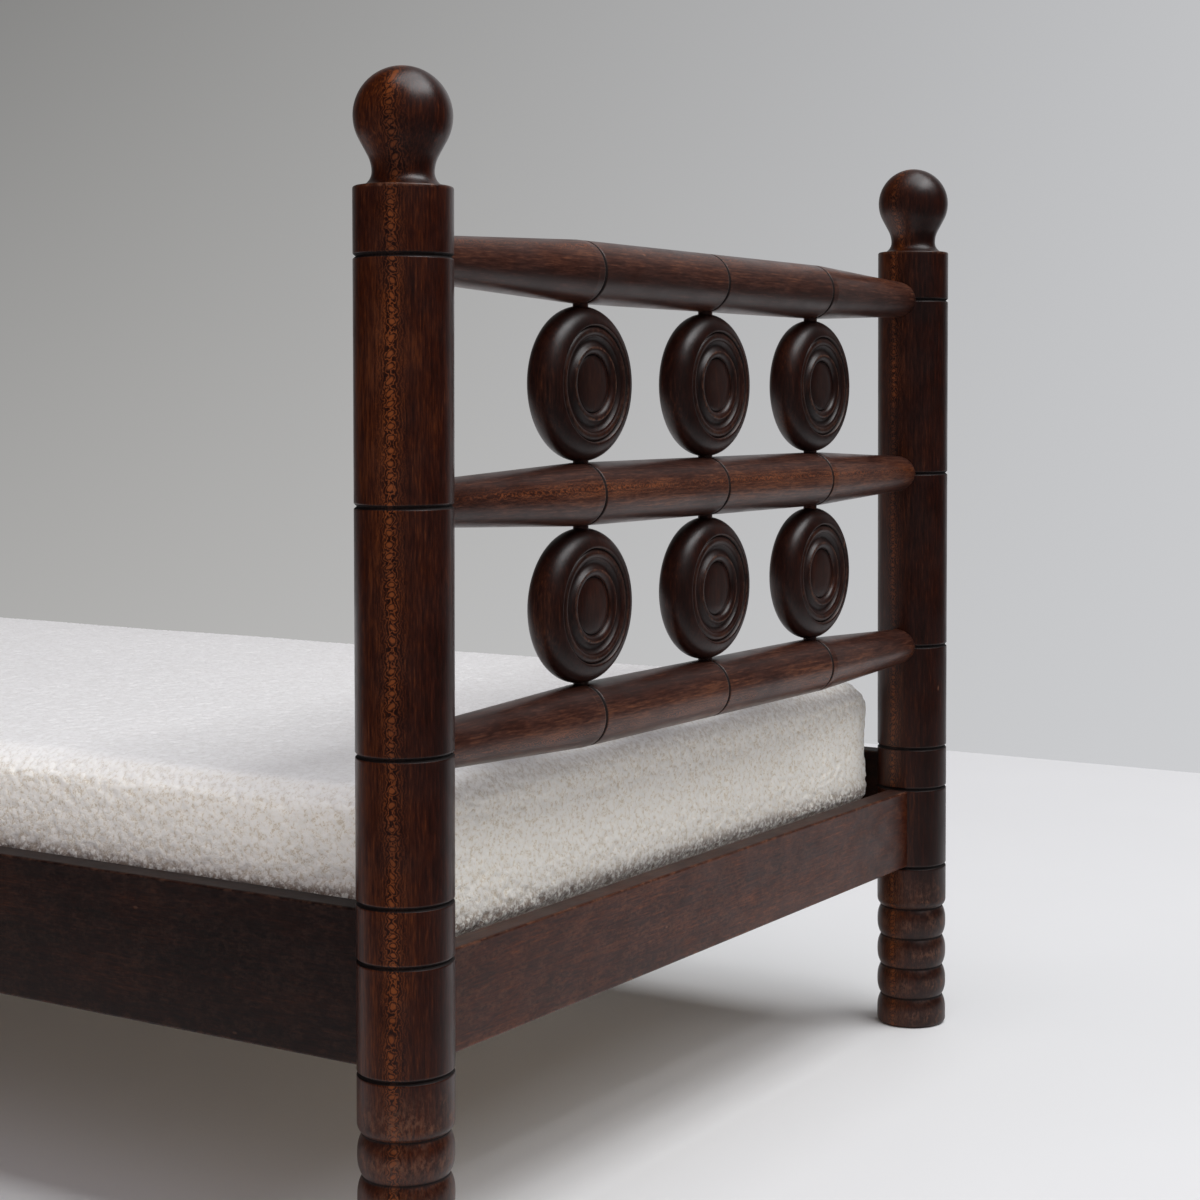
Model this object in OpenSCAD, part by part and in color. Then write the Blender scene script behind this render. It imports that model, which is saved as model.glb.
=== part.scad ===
/* [Mattress] */
// Length of the mattress, which sets the length of the bed
mattress_l = 1900; // [1700:10:2100]
// Width of the mattress, which sets the width of the bed
mattress_w = 900; // [700:10:1000]
// Thickness of the mattress at the middle of its crown
mattress_h = 158; // [110:1:200]
// How much the top rises from its edges to its middle
mattress_crown = 8; // [4:1:14]
// Radius of the mattress's upper and lower edges
mattress_edge_r = 26; // [14:1:36]
// How far the mattress's sides draw in between their corners
mattress_draw = 3; // [1:0.5:6]

/* [Posts] */
// Diameter of a post at its shoulder
post_d = 80.4; // [76:0.2:86]
// Diameter of a post where its leg begins
post_foot_d = 78.8; // [75:0.2:82]
// Height from the top spindle's axis to the post's shoulder
post_rise = 55.5; // [45:0.5:70]
// Width of a scored groove in a post
post_groove_w = 3.6; // [2:0.2:5]
// Depth of a scored groove in a post
post_groove_depth = 2.3; // [1.2:0.1:3]

/* [Ball finials] */
// Diameter of the ball
ball_d = 79.4; // [74:0.2:84]
// Diameter of the neck below the ball
neck_d = 50; // [44:0.5:56]
// Height of the ball's centre above the shoulder
ball_rise = 56; // [52:0.5:62]
// Height of the neck's narrowest place above the shoulder
neck_rise = 11.5; // [9:0.5:14]

/* [Legs] */
// Height of one bead of the leg
bead_h = 34.5; // [30:0.5:38]
// Height of the lowest bead, which stands on the floor
foot_bead_h = 32.5; // [28:0.5:38]
// Beads in a leg
bead_count = 4; // [2:1:4]
// Depth of the notch between two beads
bead_notch = 4.2; // [2.5:0.1:6]

/* [Spindles] */
// Height of the bottom spindle's axis
spindle_low_h = 439; // [425:1:480]
// Height from one spindle's axis to the next
spindle_pitch = 198; // [186:1:215]
// Diameter of a spindle in its straight middle
spindle_d = 56.8; // [50:0.2:62]
// Diameter of a spindle where it enters the post
spindle_end_d = 39.5; // [32:0.5:44]
// Half length of a spindle's straight middle
spindle_flat = 228; // [222:1:250]
// Width of a scored groove in a spindle
spindle_groove_w = 3; // [2:0.2:4]
// Depth of a scored groove in a spindle
spindle_groove_depth = 1.8; // [1:0.1:2.4]

/* [Discs] */
// Thickness of a disc, whose rim is a full round
disc_t = 36; // [30:1:42]
// Distance between the middles of two discs of a row
disc_pitch = 217; // [180:1:220]
// Gap between a disc and the spindle above it
disc_gap = 1.3; // [0.6:0.1:4]
// Gap between a disc and the spindle that it stands on
disc_low_gap = 0.3; // [0.3:0.1:4]
// Radius of the button in the middle of a disc
button_r = 25; // [20:0.5:26]
// Radius of the ridge around the button
ridge_r = 33; // [31:0.5:35]
// Diameter of the pegs that hold a disc
peg_d = 14; // [8:0.5:16]
// How deep a peg's hole goes into a disc or a spindle
peg_bite = 16; // [12:0.5:20]

/* [Rails] */
// Height of a side rail
rail_h = 127.5; // [115:0.5:140]
// Thickness of a side rail
rail_t = 26; // [22:0.5:32]
// Height of the side rails' lower edges above the floor
rail_low_h = 184.5; // [176:0.5:200]
// Height of an end board
board_h = 87; // [75:0.5:100]
// Thickness of an end board
board_t = 24; // [20:0.5:30]
// Height of the end boards' lower edges above the side rails'
board_lift = 2; // [0:0.5:10]
// Rounding of the long edges of rails and boards
edge_r = 2; // [1:0.5:4]

/* [Slat base] */
// Slats in the base
slat_count = 14; // [10:1:14]
// Width of a slat
slat_w = 70; // [50:1:90]
// Thickness of a slat
slat_t = 18; // [14:0.5:24]
// Width and height of the ledger strips that carry the slats
ledger_s = 28; // [22:1:34]
// Height of a ledger's lower face above its rail's lower edge
ledger_lift = 19; // [10:1:30]
// Width of the tapes that join the slats
tape_w = 25; // [15:1:40]
// Thickness of the tapes
tape_t = 1.5; // [1:0.1:3]

/* [Joints] */
// Distance from a post's axis to the flat floor of a housing
seat_reach = 33; // [31:0.5:35]
// Distance from a post's axis to the floor of a spindle's socket
socket_reach = 27; // [24:0.5:31]
// Diameter of a spindle's tenon
tenon_d = 24; // [18:0.5:28]
// Thickness of an end board's tenon
board_tenon_t = 10; // [8:0.5:12]
// Thickness of the steel hook and catch plates
plate_t = 2.5; // [2:0.1:3.5]
// Width of the steel hook and catch plates
plate_w = 18; // [14:0.5:20]
// Thickness of a hook
hook_t = 3; // [2:0.1:4]
// Height of a hook's shank
hook_h = 12; // [8:0.5:14]
// How far a hook's lip reaches down behind the catch plate
hook_lip = 8; // [5:0.5:10]
// Diameter of the screws' shanks
screw_d = 4; // [3:0.1:5]

/* [Clearances] */
// Play around a glued tenon, a peg or a housed end
glue_gap = 0.1; // [0.05:0.01:0.2]
// Space left at the bottom of a blind hole
blind_gap = 1; // [0.5:0.1:2]
// Play of a hook in its slot
hook_gap = 0.3; // [0.2:0.1:0.5]
// Gap between loose pieces that rest on each other
rest_gap = 0.3; // [0.2:0.1:0.5]
// Gap between the mattress and a side rail
side_gap = 5; // [2:0.5:15]
// Gap between the mattress's end and the bottom spindle's side
end_gap = 2.8; // [2:0.1:20]
// Gap between the mattress's corner and a post
corner_gap = 5; // [2:0.5:8]
// Gap between a slat's end and a side rail
slat_end_gap = 3; // [1:0.5:8]
// Gap between a ledger's end and the posts
ledger_end_gap = 3; // [1:1:60]

/* [Hidden] */
$fn = 64;
wood = "#3b2017";
pine = "#cdab7c";
steel = "#8d8f92";
cloth = "#ece7dc";
linen = "#d8d2c2";
row_names = ["upper", "lower"];
place_names = ["left", "centre", "right"];
level_names = ["bottom", "middle", "top"];
ends = [["head", -1], ["foot", 1]];
sides = [["left", -1], ["right", 1]];

// Axes of the four posts
post_x = mattress_w / 2 + side_gap + rail_t / 2;
post_y = mattress_l / 2 + end_gap + spindle_d / 2;

// Heights of the turned parts
spindle_top_h = spindle_low_h + 2 * spindle_pitch;
shoulder_h = spindle_top_h + post_rise;
leg_top = foot_bead_h + (bead_count - 1) * bead_h;
bead_half = bead_h / 2;
leg_round = 9.5;
foot_round = 5;
shoulder_round = 2;
bead_power = 2.6;
groove_above_rail = 9.5;
groove_above_board = 1.5;
groove_flat = 0.2;
notch_flat = 0.02;
post_r = post_d / 2;
bead_sink = 0.2;
bead_r = post_foot_d / 2 - bead_sink;
notch_r = bead_r - bead_notch;

// Heights of rails and boards
rail_top = rail_low_h + rail_h;
board_low = rail_low_h + board_lift;
board_top = board_low + board_h;
rail_mid = rail_low_h + rail_h / 2;

// Neck, which flares to the shoulder and runs straight into the ball
neck_r = neck_d / 2;
ball_r = ball_d / 2;
flare_r = neck_rise + 0.5;
ball_over_neck = ball_rise - neck_rise;
neck_reach_sq = neck_r * neck_r + ball_over_neck * ball_over_neck;
widest_cove = (neck_reach_sq - ball_r * ball_r) / (2 * (ball_r - neck_r));
cove_share = 0.7;
cove_r = cove_share * widest_cove;

// Spindles and discs
spindle_r = spindle_d / 2;
disc_r = (spindle_pitch - spindle_d - disc_gap - disc_low_gap) / 2;
rim_r = disc_t / 2;
rim_groove_r = disc_r - rim_r;
band_w = 7;
band_rise = 1.6;
ridge_sink = 1;
ridge_bead_w = 1.2;
button_sink = 3;
button_fall = 2;
button_groove_w = 1.4;
button_groove_sink = 6;
cove_depth = 4.5;
rim_groove_w = 1;
rim_groove_sink = 3.4;
peg_end_gap = 0.5;
tenon_reach = 8;
tenon_chamfer = 1.5;
disc_places = [-disc_pitch, 0, disc_pitch];

// End board's tenon and the housings' margins
board_tenon_margin = 15;
board_tenon_h = board_h - 2 * board_tenon_margin;
board_tenon_reach = 11;
housing_depth = post_r + 1 - seat_reach;

// Hook and catch plates
cavity_gap = 1;
plate_margin = 9;
plate_h = rail_h - 2 * plate_margin;
hook_spread = plate_h / 5;
hook_places = [-hook_spread, hook_spread];
plate_screw_margin = 9;
plate_screw_spread = plate_h / 2 - plate_screw_margin;
hook_drop = hook_lip + cavity_gap;
lip_t = 5;
plate_gap = 0.2;
rail_end_y = post_y - seat_reach - plate_gap;
plate_screw_l = 28;
post_screw_l = 22;

// Screws
screw_head_r = screw_d;
screw_head_h = screw_head_r - screw_d / 2;
screw_tip = 3;
screw_point_r = 0.4;
slot_w = 1;
slot_depth = 0.7;
ledger_screw_l = 44;
ledger_screw_count = 7;
ledger_screw_margin = 40;

// Slat base
rail_inner_x = post_x - rail_t / 2;
ledger_l = 2 * (post_y - post_r - ledger_end_gap);
ledger_low = rail_low_h + ledger_lift;
ledger_top = ledger_low + ledger_s;
slat_low = ledger_top + rest_gap;
slat_top = slat_low + slat_t;
slat_l = 2 * (rail_inner_x - slat_end_gap);
slat_margin = 20;
slat_run = mattress_l - 2 * slat_margin - slat_w;
slat_step = slat_run / (slat_count - 1);
slat_edge_r = 2.5;
tape_x = slat_l / 3;
tack_head_r = 4.5;
tack_head_t = 1;
tack_shank_r = 0.9;
tack_l = 10;
mattress_low = slat_top + rest_gap;

// Mattress's corner, which clears the post by corner_gap
corner_dx = post_x - mattress_w / 2;
corner_dy = post_y - mattress_l / 2;
corner_dc = post_r + corner_gap;
corner_b = corner_dx + corner_dy - corner_dc;
corner_c = corner_dx * corner_dx + corner_dy * corner_dy - corner_dc * corner_dc;
corner_r = sqrt(corner_b * corner_b - corner_c) - corner_b;
corner_steps = 5;
side_steps = 8;

slat_names = [for (i = [1 : slat_count]) str("slat_", i)];
disc_names = [
    for (e = ends, row = row_names, place = place_names)
    str(e[0], "_", row, "_", place, "_disc")
];
spindle_names = [for (e = ends, level = level_names) str(e[0], "_", level, "_spindle")];
corner_names = [for (e = ends, s = sides) str(e[0], "_", s[0])];

// Points of an arc about (x, y), from angle a0 to a1
function arc(x, y, r, a0, a1, n) = [
    for (i = [0 : n])
    let (a = a0 + (a1 - a0) * i / n)
    [x + r * cos(a), y + r * sin(a)]
];

function reversed(points) = [for (i = [len(points) - 1 : -1 : 0]) points[i]];

// A profile of [radius, height] points with its mirror image below height 0
function both_halves(points) = concat([for (p = reversed(points)) [p[0], -p[1]]], points);

// Outline of a board's section with eased corners, w wide and h high about its middle
function eased(w, h, r) = concat(
    arc(w / 2 - r, h / 2 - r, r, 0, 90, 4),
    arc(r - w / 2, h / 2 - r, r, 90, 180, 4),
    arc(r - w / 2, r - h / 2, r, 180, 270, 4),
    arc(w / 2 - r, r - h / 2, r, 270, 360, 4)
);

// Radius of a post's plain shaft at a height
function shaft_r(z) = post_r + (post_foot_d / 2 - post_r) * (shoulder_h - z) / (shoulder_h - leg_top);

// A scored groove across the outline of a shaft of radius r
function groove(r, z, w, depth) = [
    [r, z - w / 2],
    [r - depth, z - groove_flat / 2],
    [r - depth, z + groove_flat / 2],
    [r, z + w / 2]
];

// Outline of a bead between the relative heights t0 and t1, where -1 and 1 are its notches
function bead(mid, half, top_r, t0, t1, n) = [
    for (i = [0 : n])
    let (t = t0 + (t1 - t0) * i / n)
    [notch_r + (top_r - notch_r) * (1 - pow(abs(t), bead_power)), mid + t * half]
];

post_grooves = [
    rail_low_h,
    board_top + groove_above_board,
    rail_top + groove_above_rail,
    spindle_low_h,
    spindle_low_h + spindle_pitch,
    spindle_top_h
];

// The straight run that touches both the ball and the neck's cove
run_turn = acos((ball_r + cove_r) / norm([neck_r + cove_r, ball_over_neck]));
run_angle = run_turn - atan2(ball_over_neck, neck_r + cove_r);

function leg_outline() = concat(
    [[0, 0]],
    arc(bead_r - foot_round, foot_round, foot_round, -90, 0, 5),
    bead(foot_bead_h - bead_half, bead_half, bead_r, 0, 1, 8),
    [for (i = [1 : bead_count - 1])
        each bead(foot_bead_h + (i - 0.5) * bead_h, bead_half, bead_r, notch_flat - 1, 1, 16)],
    bead(leg_top + leg_round, leg_round, shaft_r(leg_top), notch_flat - 1, 0, 8)
);

function finial_outline() = concat(
    arc(shaft_r(shoulder_h) - shoulder_round, shoulder_h - shoulder_round, shoulder_round, 0, 90, 4),
    arc(neck_r + flare_r, shoulder_h + neck_rise, flare_r, 180 + asin(neck_rise / flare_r), 180, 7),
    arc(neck_r + cove_r, shoulder_h + neck_rise, cove_r, 176, 180 + run_angle, 6),
    arc(0, shoulder_h + ball_rise, ball_r, run_angle, 90, 26)
);

function post_outline() = concat(
    leg_outline(),
    [for (z = post_grooves) each groove(shaft_r(z), z, post_groove_w, post_groove_depth)],
    finial_outline()
);

module screw(length) {
    color(steel) difference() {
        union() {
            translate([0, 0, -screw_head_h])
                cylinder(h = screw_head_h, r1 = screw_d / 2, r2 = screw_head_r);
            translate([0, 0, screw_tip - length])
                cylinder(h = length - screw_tip - screw_head_h, d = screw_d);
            translate([0, 0, -length])
                cylinder(h = screw_tip, r1 = screw_point_r, r2 = screw_d / 2);
        }
        translate([-slot_w / 2, -screw_head_r - 1, -slot_depth])
            cube([slot_w, 2 * screw_head_r + 2, slot_depth + 1]);
    }
}

module screw_hole(length) {
    translate([0, 0, -screw_head_h])
        cylinder(h = screw_head_h, r1 = screw_d / 2 + glue_gap, r2 = screw_head_r + glue_gap);
    translate([0, 0, -length - blind_gap])
        cylinder(h = length + blind_gap, r = screw_d / 2 + glue_gap);
    cylinder(h = 1, r = screw_head_r + glue_gap);
}

// A post about its own axis, with its spindle sockets and board housing towards +X
// and its rail housing towards +Y
module post() {
    color(wood) difference() {
        rotate_extrude() polygon(post_outline());
        for (level = [0 : 2]) translate([0, 0, spindle_low_h + level * spindle_pitch])
            spindle_socket();
        board_housing();
        rail_housing();
    }
}

module spindle_socket() {
    translate([socket_reach, 0, 0]) rotate([0, 90, 0])
        cylinder(h = post_r, d = spindle_end_d + 2 * glue_gap);
    translate([tenon_reach - blind_gap, 0, 0]) rotate([0, 90, 0])
        cylinder(h = post_r, d = tenon_d + 2 * glue_gap);
}

module board_housing() {
    low = board_low - glue_gap;
    translate([seat_reach, -board_t / 2 - glue_gap, low])
        cube([housing_depth, board_t + 2 * glue_gap, board_h + 2 * glue_gap]);
    translate([
        board_tenon_reach - blind_gap,
        -board_tenon_t / 2 - glue_gap,
        board_low + (board_h - board_tenon_h) / 2 - glue_gap
    ])
        cube([
            post_r,
            board_tenon_t + 2 * glue_gap,
            board_tenon_h + 2 * glue_gap
        ]);
}

module rail_housing() {
    translate([-rail_t / 2 - glue_gap, seat_reach, rail_low_h - glue_gap])
        cube([rail_t + 2 * glue_gap, housing_depth, rail_h + 2 * glue_gap]);
    translate([0, seat_reach - plate_t, rail_mid]) plate_recess();
    for (z = hook_places) translate([0, 0, rail_mid + z]) hook_cavity();
    for (z = [-plate_screw_spread, plate_screw_spread])
        translate([0, seat_reach, rail_mid + z]) rotate([-90, 0, 0]) screw_hole(post_screw_l);
}

// Room for a steel plate whose back lies at y = 0
module plate_recess() {
    translate([-plate_w / 2 - glue_gap, -glue_gap, -plate_h / 2 - glue_gap])
        cube([plate_w + 2 * glue_gap, plate_t + glue_gap + 1, plate_h + 2 * glue_gap]);
}

// Room behind a slot of the catch plate, down to the lip's lowest place
module hook_cavity() {
    back = seat_reach - plate_t - hook_gap - lip_t - cavity_gap;
    low = -hook_h / 2 - hook_lip - cavity_gap;
    high = hook_h / 2 + hook_drop + cavity_gap;
    translate([-hook_t / 2 - cavity_gap, back, low])
        cube([hook_t + 2 * cavity_gap, seat_reach - plate_t - back, high - low]);
}

// Half a spindle's outline from its middle to its end
function spindle_half() = concat(
    [[spindle_r - spindle_groove_depth, groove_flat / 2], [spindle_r, spindle_groove_w / 2]],
    groove(spindle_r, disc_pitch, spindle_groove_w, spindle_groove_depth),
    [
        [spindle_r, spindle_flat],
        [spindle_end_d / 2, post_x - post_r],
        [spindle_end_d / 2, post_x - socket_reach],
        [tenon_d / 2, post_x - socket_reach],
        [tenon_d / 2, post_x - tenon_reach - tenon_chamfer],
        [tenon_d / 2 - tenon_chamfer, post_x - tenon_reach],
        [0, post_x - tenon_reach]
    ]
);

// A spindle about its own axis, with peg holes upwards, downwards or both
module spindle(holes_up, holes_down) {
    color(wood) difference() {
        rotate([0, 90, 0]) rotate_extrude() polygon(both_halves(spindle_half()));
        for (x = disc_places) {
            if (holes_up) translate([x, 0, spindle_r - peg_bite]) peg_hole();
            if (holes_down) translate([x, 0, -spindle_r]) peg_hole();
        }
    }
}

// A blind hole for a peg, open at the end that lies outside the wood
module peg_hole() {
    cylinder(h = peg_bite, d = peg_d + 2 * glue_gap);
}

// Height of the cove between the ridge and the band, at t from 0 to 1 across it
function cove_height(t) = rim_r - ridge_sink - cove_depth * pow(sin(180 * t), 0.8);

// Half a disc's outline, from the middle of its face out over the rim
function disc_half() = let (
    button_top = rim_r - button_sink,
    groove_h = rim_r - button_groove_sink,
    groove_r = button_r + button_groove_w,
    ridge_in = ridge_r - ridge_bead_w,
    band_out = rim_groove_r - rim_groove_w,
    band_mid = band_out - band_w / 2,
    band_low = rim_r - ridge_sink - band_rise
) concat(
    [for (i = [0 : 8]) [button_r * i / 8, button_top - button_fall * pow(i / 8, 4)]],
    [for (i = [0 : 5])
        let (a = 90 * i / 5)
        [ridge_in + (groove_r - ridge_in) * cos(a), groove_h + (rim_r - ridge_sink - groove_h) * sin(a)]],
    [for (i = [0 : 9]) [ridge_r + (band_mid - band_w / 2 - ridge_r) * i / 10, cove_height(i / 10)]],
    [for (t = [-1 : 0.25 : 1]) [band_mid + t * band_w / 2, band_low + band_rise * (1 - t * t)]],
    [[rim_groove_r, rim_r - rim_groove_sink]],
    arc(rim_groove_r, 0, rim_r, 86, 2, 16)
);

// A disc about its own axis, which lies along Z
module turned_disc() {
    rotate_extrude() polygon(both_halves(disc_half()));
}

// A disc as it stands between two spindles, facing along Y
module disc() {
    color(wood) difference() {
        rotate([90, 0, 0]) turned_disc();
        translate([0, 0, disc_r - peg_bite]) peg_hole();
        translate([0, 0, -disc_r]) peg_hole();
    }
}

// Height of the middle of the upper row (0) or of the lower row (1)
function row_h(row) = spindle_low_h + (1 - row) * spindle_pitch + spindle_r + disc_low_gap + disc_r;

// The pegs of one end, which run from a hole in a spindle to one in a disc
module disc_pegs() {
    for (row = [0, 1], x = disc_places) {
        spindle_above = spindle_low_h + (2 - row) * spindle_pitch - spindle_r;
        spindle_below = spindle_low_h + (1 - row) * spindle_pitch + spindle_r;
        translate([x, 0, 0]) {
            peg(row_h(row) + disc_r, spindle_above);
            peg(spindle_below, row_h(row) - disc_r);
        }
    }
}

module peg(low_face, high_face) {
    low = low_face - peg_bite + peg_end_gap;
    high = high_face + peg_bite - peg_end_gap;
    color(wood) translate([0, 0, low]) cylinder(h = high - low, d = peg_d);
}

// A board that lies along Y about its middle
module board_along_y(length, t, h) {
    translate([0, length / 2, 0]) rotate([90, 0, 0]) linear_extrude(length) polygon(eased(t, h, edge_r));
}

module end_board() {
    half = post_x - seat_reach - plate_gap;
    color(wood) translate([0, 0, board_low + board_h / 2]) {
        rotate([0, 0, 90]) board_along_y(2 * half, board_t, board_h);
        for (side = [-1, 1]) translate([side * (half + post_x - board_tenon_reach) / 2, 0, 0])
            cube([post_x - board_tenon_reach - half, board_tenon_t, board_tenon_h], center = true);
    }
}

// The right side rail, about the bed's middle
module side_rail() {
    color(wood) difference() {
        translate([0, 0, rail_mid]) board_along_y(2 * rail_end_y, rail_t, rail_h);
        for (end = [-1, 1]) scale([1, end, 1]) {
            translate([0, rail_end_y - plate_t, rail_mid]) plate_recess();
            for (z = [-plate_screw_spread, plate_screw_spread])
                translate([0, rail_end_y, rail_mid + z]) rotate([-90, 0, 0]) screw_hole(plate_screw_l);
        }
        for (y = ledger_screw_places)
            translate([-rail_t / 2 - glue_gap - ledger_s, y, ledger_low + ledger_s / 2])
                rotate([0, -90, 0]) screw_hole(ledger_screw_l);
    }
}

ledger_screw_places = [
    for (i = [0 : ledger_screw_count - 1])
    (i / (ledger_screw_count - 1) - 0.5) * (ledger_l - 2 * ledger_screw_margin)
];

// The right ledger strip
module ledger() {
    color(pine) difference() {
        translate([rail_inner_x - glue_gap - ledger_s, -ledger_l / 2, ledger_low])
            cube([ledger_s, ledger_l, ledger_s]);
        for (y = ledger_screw_places)
            translate([rail_inner_x - glue_gap - ledger_s, y, ledger_low + ledger_s / 2])
                rotate([0, -90, 0]) screw_hole(ledger_screw_l);
    }
}

module ledger_screws() {
    for (side = [-1, 1], y = ledger_screw_places)
        scale([side, 1, 1]) translate([rail_inner_x - glue_gap - ledger_s, y, ledger_low + ledger_s / 2])
            rotate([0, -90, 0]) screw(ledger_screw_l);
}

// The plate on a rail's end, with its hooks towards the post at +Y
module hook_plate() {
    face = seat_reach + plate_gap;
    back = seat_reach - plate_t - hook_gap - lip_t;
    color(steel) translate([0, 0, rail_mid]) difference() {
        union() {
            translate([-plate_w / 2, face, -plate_h / 2]) cube([plate_w, plate_t, plate_h]);
            for (z = hook_places) translate([-hook_t / 2, back, z - hook_h / 2]) {
                cube([hook_t, face + plate_t - back, hook_h]);
                translate([0, 0, -hook_lip]) cube([hook_t, lip_t, hook_lip + hook_h]);
            }
        }
        for (z = [-plate_screw_spread, plate_screw_spread])
            translate([0, face, z]) rotate([90, 0, 0]) screw_hole(plate_screw_l);
    }
}

// The plate in a post's housing, with a slot for each hook
module catch_plate() {
    color(steel) translate([0, 0, rail_mid]) difference() {
        translate([-plate_w / 2, seat_reach - plate_t, -plate_h / 2]) cube([plate_w, plate_t, plate_h]);
        for (z = hook_places)
            translate([-hook_t / 2 - hook_gap, seat_reach - plate_t - 1, z - hook_h / 2 - hook_gap])
                cube([hook_t + 2 * hook_gap, plate_t + 2, hook_h + hook_gap + hook_drop]);
        for (z = [-plate_screw_spread, plate_screw_spread])
            translate([0, seat_reach, z]) rotate([-90, 0, 0]) screw_hole(post_screw_l);
    }
}

// Moves what is built about a post's axis to the post of one corner
module at_post(end, side) {
    translate([side * post_x, end * post_y, 0]) scale([-side, -end, 1]) children();
}

module plate_screws(length, turn, y) {
    for (end = [-1, 1], side = [-1, 1]) at_post(end, side)
        for (z = [-plate_screw_spread, plate_screw_spread])
            translate([0, y, rail_mid + z]) rotate([turn, 0, 0]) screw(length);
}

module slat(i) {
    color(pine) translate([0, slat_y(i), slat_low]) difference() {
        translate([-slat_l / 2, 0, slat_t / 2]) rotate([90, 0, 90])
            linear_extrude(slat_l) polygon(eased(slat_w, slat_t, slat_edge_r));
        for (side = [-1, 1]) translate([side * tape_x, 0, 0]) tack_hole(-1, tack_l);
    }
}

module tack_hole(low, high) {
    translate([0, 0, low]) cylinder(h = high - low, r = tack_shank_r + glue_gap);
}

function slat_y(i) = i * slat_step - slat_run / 2;

// The right tape, under the slats
module slat_tape() {
    length = slat_run + slat_w;
    color(linen) difference() {
        translate([tape_x - tape_w / 2, -length / 2, slat_low - glue_gap - tape_t])
            cube([tape_w, length, tape_t]);
        for (i = [0 : slat_count - 1])
            translate([tape_x, slat_y(i), slat_low]) tack_hole(-tape_t - 1, 1);
    }
}

module slat_tape_tacks() {
    face = slat_low - glue_gap - tape_t - glue_gap;
    color(steel) for (side = [-1, 1], i = [0 : slat_count - 1])
        translate([side * tape_x, slat_y(i), face]) {
            cylinder(h = tape_t + tack_l - 1, r = tack_shank_r);
            translate([0, 0, -tack_head_t]) cylinder(h = tack_head_t, r = tack_head_r);
        }
}

// The mattress's rounded plan, drawn in by inset
function mattress_plan(inset) = let (
    w = mattress_w / 2 - inset,
    l = mattress_l / 2 - inset,
    r = max(corner_r - 0.75 * inset, 3)
) [
    for (q = [0 : 3])
    let (
        sx = (q == 0 || q == 3) ? 1 : -1,
        sy = (q < 2) ? 1 : -1,
        along_x = q % 2 == 0,
        corner = arc(sx * (w - r), sy * (l - r), r, 90 * q, 90 * q + 90, corner_steps),
        from = corner[corner_steps],
        to = along_x ? [-sx * (w - r), sy * l] : [sx * w, -sy * (l - r)]
    )
    each concat(
        corner,
        [for (i = [1 : side_steps - 1])
            let (t = i / side_steps, pull = mattress_draw * sin(180 * t))
            from + (to - from) * t - (along_x ? [0, sy * pull] : [sx * pull, 0])]
    )
];

// One level of the mattress: its plan scaled by share about the middle, at height z
function mattress_level(inset, share, z) = [for (p = mattress_plan(inset)) [share * p[0], share * p[1], z]];

mattress_edge_top = mattress_low + mattress_h - mattress_crown;
mattress_low_r = mattress_edge_r / 2;

module mattress() {
    edge = mattress_edge_r;
    levels = concat(
        [for (a = [-90, -60, -30, 0])
            [mattress_low_r * (1 - cos(a)), 1, mattress_low + mattress_low_r * (1 + sin(a))]],
        [[0.6 * mattress_draw, 1, (mattress_low + mattress_edge_top) / 2]],
        [for (a = [0, 22, 45, 68, 88]) [edge * (1 - cos(a)), 1, mattress_edge_top - edge * (1 - sin(a))]],
        [for (f = [0.93, 0.8, 0.6, 0.3]) [edge, f, mattress_edge_top + mattress_crown * (1 - pow(f, 4))]]
    );
    rings = [for (level = levels) mattress_level(level[0], level[1], level[2])];
    n = len(rings[0]);
    last = len(rings) - 1;
    points = concat(
        [for (ring = rings) each ring],
        [[0, 0, mattress_low], [0, 0, mattress_low + mattress_h]]
    );
    floor_point = n * (last + 1);
    top_point = floor_point + 1;
    walls = [for (k = [0 : last - 1], i = [0 : n - 1])
        let (j = (i + 1) % n, a = k * n + i, b = k * n + j)
        each [[a, a + n, b], [b, a + n, b + n]]];
    caps = [for (i = [0 : n - 1])
        let (j = (i + 1) % n)
        each [[floor_point, i, j], [top_point, last * n + j, last * n + i]]];
    color(cloth) polyhedron(points, concat(walls, caps));
}

for (e = ends, s = sides) {
    name = str(e[0], "_", s[0]);
    at_post(e[1], s[1]) post();
    at_post(e[1], s[1]) hook_plate();
    at_post(e[1], s[1]) catch_plate();
}
for (e = ends) {
    for (level = [0 : 2])
        translate([0, e[1] * post_y, spindle_low_h + level * spindle_pitch])
                spindle(level < 2, level > 0);
    for (row = [0, 1], place = [0 : 2])
        translate([disc_places[place], e[1] * post_y, row_h(row)]) disc();
    translate([0, e[1] * post_y, 0]) disc_pegs();
    translate([0, e[1] * post_y, 0]) end_board();
}
for (s = sides) {
    scale([s[1], 1, 1]) translate([post_x, 0, 0]) side_rail();
    scale([s[1], 1, 1]) ledger();
    scale([s[1], 1, 1]) slat_tape();
}
plate_screws(plate_screw_l, 90, seat_reach + plate_gap);  // hook_plate_screws
plate_screws(post_screw_l, -90, seat_reach);  // catch_plate_screws
ledger_screws();
for (i = [0 : slat_count - 1])
    slat(i);
slat_tape_tacks();
mattress();
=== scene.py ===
import math

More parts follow.
